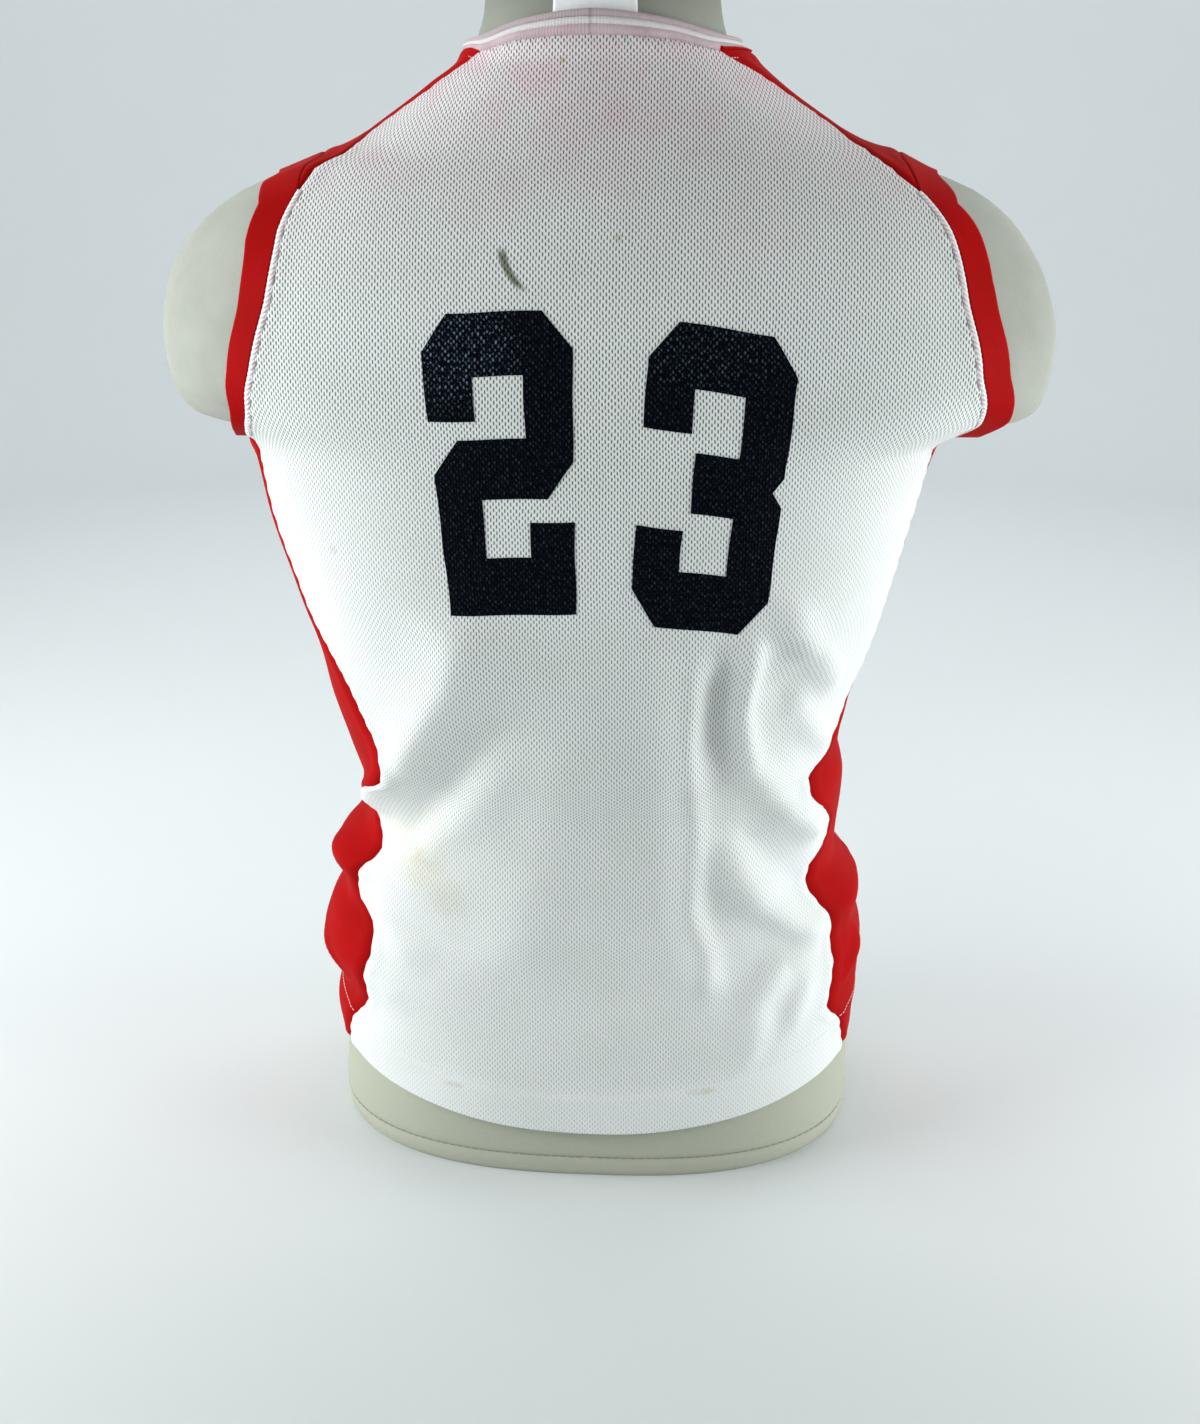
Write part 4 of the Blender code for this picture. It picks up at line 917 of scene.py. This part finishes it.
def navy_film():
    """Dark navy print film, with glints painted pale into its colour at pin holes where it has sunk
    into the mesh.
    """
    m = Material("navy_film", (0.0006, 0.0016, 0.0045), 0.45, 0.03)
    place = m.cloth_place()[2]
    holes = m.pin_holes(0.00060, 0.00110)
    # lighter navy in random patches
    lighter_patches = m.noise(place, 160.0, 4.0, 0.7).smooth(0.45, 0.75)
    base = m.mix(lighter_patches, (0.0004, 0.0012, 0.0036), (0.0014, 0.0030, 0.0075))
    # painted highlight: pale bluish colour at some pin holes, as glints of the lights
    glint = m.noise(place, 420.0, 2.0, 0.6).smooth(0.42, 0.70) * (m.stains_and_glints(GLINTS) + 0.16)
    m.color(holes * glint, base, (0.14, 0.21, 0.26))
    grain = m.noise(place, 1100.0, 2.0, 0.7)
    m.relief(grain * 0.6 - holes, 0.00030, 0.9)
    m.set("Roughness", grain.smooth(0.3, 0.8, 0.36, 0.55))
    return m.material


def form_cover():
    """Grey-beige jersey stretched over the form, with painted light making it lighter towards the
    base, and darker up its neck.
    """
    m = Material("form_cover", (0.38, 0.39, 0.345), 0.85, 0.2, 0.10, 0.5)
    place = m.position()
    height = m.split(place)[2]
    mottle = m.noise(place, 26.0, 5.0, 0.65).smooth(0.3, 0.75)
    weave = m.noise(place, 1100.0, 2.0, 0.6)
    base = m.mix(mottle, (0.395, 0.405, 0.362), (0.345, 0.355, 0.310))
    # painted light: lighter towards the base
    base = m.mix(height.smooth(0.03, 0.20, 1.0, 0.0), base, (0.45, 0.46, 0.375))
    base = m.mix(height.smooth(0.655, 0.705), base, (0.200, 0.207, 0.168))
    m.color(weave.smooth(0.4, 0.7) * 0.12, base, (0.22, 0.22, 0.19))
    m.relief(weave, 0.00035, 0.6)
    return m.material


def thread(name, color):
    """Sewing thread, with a faint twist."""
    m = Material(name, color, 0.6, 0.3, 0.2, 0.4)
    dark = tuple(0.86 * channel for channel in color)
    m.color(m.noise(m.position(), 900.0, 1.0).smooth(0.35, 0.7), color, dark)
    return m.material


def seam_tape():
    """White covering stitch of the armholes, with its pinkish chain and a painted shadow as a dark
    line along its edge by the seam.
    """
    m = Material("seam_tape", (0.76, 0.72, 0.73), 0.7, 0.25, 0.12, 0.4)
    along, around, _ = m.cloth_place()
    chain = ((along + around * 2.6) * (2 * math.pi / CHAIN_PITCH)).math("SINE")
    base = m.mix(chain.smooth(0.0, 0.9), (0.86, 0.83, 0.84), (0.66, 0.54, 0.57))
    base = m.mix(around.smooth(0.00105, 0.00135), base, (0.88, 0.85, 0.86))
    # painted shadow: the tape's edge and underside towards the seam are coloured dark
    m.color(around.smooth(0.00168, 0.00188), base, (0.22, 0.10, 0.13))
    m.relief(chain, 0.00030, 0.7)
    return m.material


def pale_stage():
    """Plain pale paper for the floor and backdrop, with painted shade making it greyer in the
    foreground.
    """
    m = Material("pale_stage", (0.80, 0.83, 0.845), 0.9, 0.1)
    place = m.position()
    cloud = m.mix(m.noise(place, 1.2, 2.0).smooth(0.3, 0.7), (0.80, 0.83, 0.845),
                  (0.785, 0.815, 0.83))
    # painted shade: greyer towards -Y, where the camera stands
    behind = m.split(place)[1].smooth(-0.9, 0.8)
    m.color(behind, (0.62, 0.645, 0.65), cloud)
    return m.material


# ---- pieces ----
Panel = namedtuple("Panel", "piece points normals across up thickness")


def finish_piece(piece, slot, *nodes):
    """A shown piece rides on the one body and stands for its CAD nodes, which it hides; its slot is
    not used.
    """
    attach(piece, "root")
    if nodes:
        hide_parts(*nodes)
    return piece


def set_value(piece, name, values):
    """Store a value for every vertex of a wall, the same outside and inside."""
    layer = piece.data.attributes.new(name, "FLOAT", "POINT")
    full = np.zeros(len(piece.data.vertices), np.float32)
    full[:2 * values.size] = np.tile(values.ravel(), 2)
    layer.data.foreach_set("value", full)


def seam_turn(distance):
    """How far the cloth sinks as it turns into a seam, after a slight swell."""
    return (SWELL * hill(distance, SWELL_PLACE, SWELL_WIDTH)
            - SEAM_TUCK * np.exp(-distance / SEAM_ROLL))


def doubling(up):
    """1 in the doubled hem and 0 above it, by height above the hem."""
    return (1 - np.tanh((up - HEM_DEPTH - HEM_STEP) / HEM_FADE / 2)) / 2


def add_panel(name, angle, height, material, slot, side=1, hem=True):
    """A panel that turns in at its seams, and what is needed to lay other pieces on it."""
    points = on_jersey(angle, height)[:, ::side]
    normals = grid_normals(points, False)
    across, up = travelled(points, 1), travelled(points)
    to_edge = np.minimum(np.minimum(across, across[:, -1:] - across), up[-1:] - up)
    if hem:
        thickness = CLOTH + (HEM_DOUBLED - CLOTH) * doubling(up)
        rise = (seam_turn(to_edge) + HEM_SWELL * doubling(up)
                - HEM_GROOVE * hill(up, HEM_DEPTH, HEM_GROOVE_WIDTH))
    else:
        thickness, rise = CLOTH, seam_turn(np.minimum(to_edge, up))
    if slot == "white_mesh":
        waves = np.sin(up * 2 * math.pi / PUCKER_PITCH + 2.0 * np.sin(up * 37.0))
        rise = rise + PUCKER * np.exp(-to_edge / PUCKER_FADE) * waves
    points = points + normals * rise[..., None]
    if slot == "white_mesh":
        uv = knit_place(points, up)
    else:
        uv = np.stack([across - across[:, [across.shape[1] // 2]], up], -1)
    piece = finish_piece(wall(name + "_cloth", points, uv, thickness, material), slot, name)
    return Panel(piece, points, normals, across, up, thickness)


def add_body_panel(word, edge, neck_corner, material):
    """The back or the front, with how dark the painted shade in its pin holes is and how pink."""
    angle, height = body_panel(edge, neck_corner)
    panel = add_panel(word + "_panel", angle, height, material, "white_mesh")
    turn = np.abs(wrap(angle))
    aside = ramp(np.minimum(turn, 180 - turn), 18, 35) * (1 - ramp(height, 0.42, 0.08))
    # painted shade in the pin holes: weaker low down, at the sides below the arms and in the
    # doubled hem
    set_value(panel.piece, "open", (0.48 + 0.44 * ramp(height, 0.15, 0.30)) * (1 - 0.6 * aside)
              * (1 - 0.35 * doubling(panel.up)))
    neck = hill(panel.up[-1:] - panel.up, 0, 0.055)
    to_side = np.minimum(panel.across, panel.across[:, -1:] - panel.across)
    shoulder = hill(to_side, 0, 0.040) * ramp(height, 0.56, 0.05)
    set_value(panel.piece, "pink", np.clip(0.30 * neck + 0.30 * shoulder
                                           + 0.34 * ramp(height, 0.54, 0.10), 0, 1))
    return panel


def add_hem_stitch(word, panel, material):
    """The stitch line of a panel's hem: one bead of thread after another."""
    row = np.array([np.interp(HEM_DEPTH, up, np.arange(len(up))) for up in panel.up.T])
    low, index = np.floor(row).astype(int), np.arange(len(row))
    share = (row - low)[:, None]
    face = panel.points + panel.normals * (panel.thickness[..., None] / 2 + 0.0001)
    path = face[low, index] * (1 - share) + face[low + 1, index] * share
    row = stitches("hem_stitch_" + word, path[2:-2], panel.normals[low, index][2:-2],
                   HEM_STITCH, material)
    return finish_piece(row, "white_mesh")


def add_band(side, material):
    """The folded band round an armhole."""
    word = side_name(side)
    angle, height = armhole_loop(side)
    seam = on_jersey(angle, height)
    out, inward, up = (read(BAND_STEPS, height, column) for column in (word, word + "_in", "up"))
    inward = np.minimum(inward, np.abs(seam[:, 1]))
    reach = np.stack([side * out, -np.sign(seam[:, 1]) * inward, up], -1)
    for _ in range(BAND_SMOOTHING):
        reach = (np.roll(reach, 1, 0) + 2 * reach + np.roll(reach, -1, 0)) / 4
    share = np.array([0, 0.05, 0.12, 0.25, 0.4, 0.55, 0.7, 0.82, 0.92, 1.0])[:, None]
    points = seam + reach * share[..., None]
    points[1:] = clear_of_stub(points[1:], BAND_CLEARANCE)
    points = points[:, ::side]
    if np.sum(grid_normals(points, True)[..., 0]) * side < 0:
        points = points[::-1]
    width = np.linalg.norm(points[-1] - points[0], axis=-1)
    uv = np.stack(np.broadcast_arrays(share * width, travelled(points[0])), -1)
    name = "armhole_band_" + word
    piece = wall(name + "_cloth", points, uv, BAND_DOUBLED, material, True)
    return finish_piece(piece, "red_knit", name)


def add_tape(side, word, edge, tape, line):
    """The covering stitch down a white panel's armhole edge and the stitch line beside it."""
    height = stepped(SIDE_SEAM_TOP + 0.001, SHOULDER_CORNER - 0.0005, 0.0004)
    seam, normal, into = seam_frame(edge(side, height), height, side)
    length = np.cumsum(np.linalg.norm(np.gradient(seam, axis=0), axis=-1))
    chain = np.sin(length * 2 * math.pi / CHAIN_PITCH)
    name = side_name(side) + "_" + word
    path = seam + into * TAPE_PLACE + normal * 0.0006
    band = tube("armhole_tape_" + name, path, into, normal, TAPE_WIDTH + 0.0003 * chain,
                TAPE_HEIGHT, tape, 12)
    path = seam + into * (LINE_PLACE + 0.0003 * chain)[:, None] + normal * 0.0010
    row = tube("armhole_line_" + name, path, into, normal, LINE_WIDTH + 0.0002 * chain,
               LINE_HEIGHT, line, 6)
    return [finish_piece(band, "white_mesh"), finish_piece(row, "white_mesh")]


def add_collar(material, line):
    """The folded collar, rolled outward at its top, and the row of stitches below its seam."""
    angle = np.linspace(0, 360, 300, endpoint=False)
    seam = on_jersey(angle, neck_height(angle))
    top = on_section(FORM_SHOULDERS, angle, read(NECKLINE, wrap(angle), "top"), COLLAR_CLEARANCE)
    up = np.linspace(0, 1, 29)[:, None]
    swell = (sum(each.rise * hill(up, each.centre, each.width) for each in COLLAR_SWELLS)
             - COLLAR_TUCK * np.exp(-up / 0.06))
    points = seam + (top - seam) * up[..., None] + level_out(seam) * swell[..., None]
    uv = np.stack(np.broadcast_arrays(travelled(seam), up), -1)
    thickness = COLLAR_WALL + COLLAR_ROLL * hill(up, COLLAR_SWELLS[0].centre,
                                                 COLLAR_SWELLS[0].width)
    piece = wall("collar_cloth", points, uv, thickness, material, True)
    turn = np.linspace(0, 360, 700)
    path = on_jersey(turn, neck_height(turn) - COLLAR_ROW, CLOTH / 2 + 0.0002)
    row = stitches("collar_row", path, level_out(path), COLLAR_STITCH, line)
    return [finish_piece(piece, "collar_knit", "collar"), finish_piece(row, "collar_knit")]


def add_care_label(material):
    """The bare label that stands up inside the collar at the centre back."""
    heights = stepped(LABEL_BOTTOM, LABEL_TOP, 0.002)[:, None]
    radius = abs(on_section(FORM_SHOULDERS, 0.0, 0.69)[1])
    spread = math.degrees(LABEL_WIDTH / 2 / radius)
    angle = np.linspace(-spread, spread, 25)
    rise = ramp(heights, LABEL_BOTTOM, LABEL_TOP - LABEL_BOTTOM)
    curl = LABEL_CURL * (np.abs(angle) / spread) ** 4 * rise
    points = on_section(FORM_SHOULDERS, angle + LABEL_TURN, heights, LABEL_CLEARANCE + curl)
    piece = wall("care_label_cloth", points, points[..., [0, 2]], LABEL_WALL,
                 material)
    return finish_piece(piece, "label_satin", "care_label")


def between(first, second, share):
    """The point a share of the way from one to another."""
    return [a + (b - a) * share for a, b in zip(first, second)]


def add_number(place, surface, material):
    """A block numeral cut from film, in small faces laid on the back panel."""
    bm = bmesh.new()
    bm.faces.new([bm.verts.new((across, up, 0)) for across, up in DIGIT_OUTLINES[place.digit]])
    for axis, step in (((1, 0, 0), 0.0305), ((0, 1, 0), 0.0152)):
        for share in np.arange(step, 1, step):
            bmesh.ops.bisect_plane(bm, geom=bm.verts[:] + bm.edges[:] + bm.faces[:], dist=0.00001,
                                   plane_co=Vector(axis) * share, plane_no=axis)
    for vert in bm.verts:
        across, up, _ = vert.co
        x, height = between(between(place.bottom_left, place.bottom_right, across),
                            between(place.top_left, place.top_right, across), up)
        x += 0.00025 * math.sin(150 * height)
        height += 0.0003 * math.sin(120 * x)
        hit, normal, _, _ = surface.ray_cast(Vector((x, -1, height)), Vector((0, 1, 0)))
        vert.co = hit + normal * math.copysign(FILM_GAP + FILM / 2, -normal.y)
    layer = bm.loops.layers.uv.new("cloth")
    for face in bm.faces:
        for loop in face.loops:
            loop[layer].uv = loop.vert.co.xz
    bmesh.ops.recalc_face_normals(bm, faces=bm.faces)
    for edge in bm.edges:
        edge.smooth = not edge.is_boundary
    mesh = bpy.data.meshes.new("number_" + place.digit + "_film")
    bm.to_mesh(mesh)
    bm.free()
    mesh.shade_smooth()
    mesh.materials.append(material)
    piece = add_object(mesh.name, mesh)
    film = piece.modifiers.new("film", "SOLIDIFY")
    film.thickness = FILM
    film.offset = 0.0
    return finish_piece(piece, "navy_film", "number_" + place.digit)


def add_form(material, line):
    """The dress form: trunk, shoulder stubs cut flat below, and neck, closed at both ends."""
    angle = np.linspace(0, 360, 160, endpoint=False)
    base = [0, 0.0008, 0.002, 0.0045, 0.008, 0.0115, 0.0125, FORM_SEAM, 0.0145, 0.0155, 0.019]
    heights = np.concatenate([base, stepped(0.025, STUB_UNDERSIDE - 0.004, 0.008),
                              [STUB_UNDERSIDE - 0.0015, STUB_UNDERSIDE - 0.0003]])[:, None]
    groove = -FORM_GROOVE * hill(heights, FORM_SEAM, FORM_GROOVE_WIDTH)
    trunk = on_section(FORM_TRUNK, angle, heights, groove)
    inner, outer = (on_section(sections, angle, STUB_UNDERSIDE)
                    for sections in (FORM_TRUNK, FORM_SHOULDERS))
    shelf = [inner * (1 - share) + outer * share for share in (0.04, 0.3, 0.6, 0.85, 0.97, 1.0)]
    upper = np.concatenate([[0.4607, 0.462, 0.464, 0.467, 0.471, 0.476, 0.482],
                            stepped(0.489, NECK_TOP - 0.004, 0.0055),
                            [NECK_TOP - 0.0022, NECK_TOP - 0.0008]])[:, None]
    crown = [on_section(FORM_SHOULDERS, angle, NECK_TOP, -0.0025 - 0.0605 * share)
             for share in (0.0, 0.1, 0.4, 0.75, 0.96)]
    points = np.concatenate([trunk, shelf, on_section(FORM_SHOULDERS, angle, upper), crown])
    piece = make_mesh("form_cover", points.reshape(-1, 3), capped(*points.shape[:2]), None,
                      material)
    path = on_section(FORM_TRUNK, np.linspace(0, 360, 500), FORM_SEAM, -0.0006)
    seam = stitches("form_hem_stitch", path, level_out(path), FORM_STITCH, line)
    finish_piece(seam, "form_cover")
    return finish_piece(piece, "form_cover", "form_torso")


# ---- the object ----
WHITE, RED = white_mesh(), red_knit()
WHITE_THREAD = thread("white_thread", (0.82, 0.83, 0.83))
GREY_THREAD = thread("grey_thread", (0.36, 0.28, 0.30))
PINK_THREAD = thread("pink_thread", (0.78, 0.58, 0.63))
COVER_THREAD = thread("cover_thread", (0.33, 0.30, 0.25))
TAPE, NAVY = seam_tape(), navy_film()

add_form(form_cover(), COVER_THREAD)
back = add_body_panel("back", back_edge, NECK_CORNER, WHITE)
front = add_body_panel("front", front_edge, float(neck_height(FRONT_NECK)), WHITE)
tapes = {"back": [add_hem_stitch("back", back, WHITE_THREAD)],
         "front": [add_hem_stitch("front", front, WHITE_THREAD)]}
sides, shoulders, bands = {}, {}, {}
for side in (-1, 1):
    word = side_name(side)
    panel = add_panel("side_panel_" + word, *side_panel(side), RED, "red_knit", side)
    sides[side] = panel.piece, add_hem_stitch("side_" + word, panel, WHITE_THREAD)
    shoulders[side] = add_panel("shoulder_panel_" + word, *shoulder_panel(side), RED, "red_knit",
                                side, False).piece
    bands[side] = add_band(side, RED)
    for name, edge in (("back", back_edge), ("front", front_edge)):
        tapes[name] += add_tape(side, name, edge, TAPE, GREY_THREAD)
collar = add_collar(collar_knit(), PINK_THREAD)
label = add_care_label(label_satin())

face = back.points + back.normals * back.thickness[..., None] / 2
quads = grid_faces(*face.shape[:2], 0, False).tolist()
surface = BVHTree.FromPolygons(face.reshape(-1, 3).tolist(), quads)
numbers = [add_number(place, surface, NAVY) for place in NUMBERS]


# ---- stage, lights, camera ----
def add_stage(material):
    """A round floor that curves up into a wall."""
    profile = [(1.2, 0.0), (2.2, 0.0)]
    profile += [(2.2 + 0.8 * math.sin(t), 0.8 - 0.8 * math.cos(t))
                for t in np.linspace(0.1, math.pi / 2, 14)]
    profile += [(3.0, 1.4), (3.0, 2.6)]
    turn = np.linspace(0, 2 * math.pi, 96, endpoint=False)
    radius, height = np.array(profile).T[..., None]
    ring = np.stack(np.broadcast_arrays(radius * np.cos(turn), radius * np.sin(turn), height), -1)
    faces = grid_faces(len(radius), len(turn), 0, True, True).tolist() + [list(range(len(turn)))]
    make_mesh("stage", ring.reshape(-1, 3), faces, None, material)


def add_light(name, place, target, size, power, color):
    """A soft rectangular light at a place, facing a target."""
    light = bpy.data.lights.new(name, "AREA")
    light.shape = "RECTANGLE"
    light.size, light.size_y = size
    light.energy, light.color = power, color
    lamp = add_object(name, light)
    lamp.location = place
    lamp.rotation_euler = (Vector(target) - Vector(place)).to_track_quat("-Z", "Y").to_euler()


add_stage(pale_stage())
add_light("softbox_left", (-1.25, -0.38, 0.66), (0, 0, 0.40), (1.0, 1.1), 20.4, (0.965, 1.0, 0.985))
add_light("softbox_right", (1.27, -0.22, 0.40), (0, 0, 0.34), (0.9, 0.9), 14.9, (0.965, 1.0, 0.985))
add_light("fill", (0.0, -1.5, 1.9), (0, 0, 0.36), (1.6, 1.2), 7.8, (0.98, 1.0, 0.99))
add_light("top", (-0.1, 0.2, 2.2), (0, 0, 0.3), (1.6, 1.6), 2.2, (0.98, 1.0, 1.0))
add_light("backdrop", (0.0, 1.3, 2.2), (0, 1.35, 0.0), (3.4, 1.1), 33.5, (0.96, 1.0, 1.0))
world = bpy.data.worlds.new("studio")
world.use_nodes = True
color, strength, *_ = world.node_tree.nodes["Background"].inputs
color.default_value = (0.93, 0.97, 1.0, 1)
strength.default_value = 0.025
bpy.context.scene.world = world
bpy.context.scene.view_settings.view_transform = "Standard"

lens = bpy.data.cameras.new("camera")
lens.sensor_width = SENSOR
lens.lens = SENSOR * CAMERA_DISTANCE / CAMERA_FRAME
camera = add_object("camera", lens)
camera.location = CAMERA_PLACE
camera.rotation_euler = (math.radians(90 - CAMERA_DOWN), 0, math.radians(CAMERA_TURN))
bpy.context.scene.camera = camera
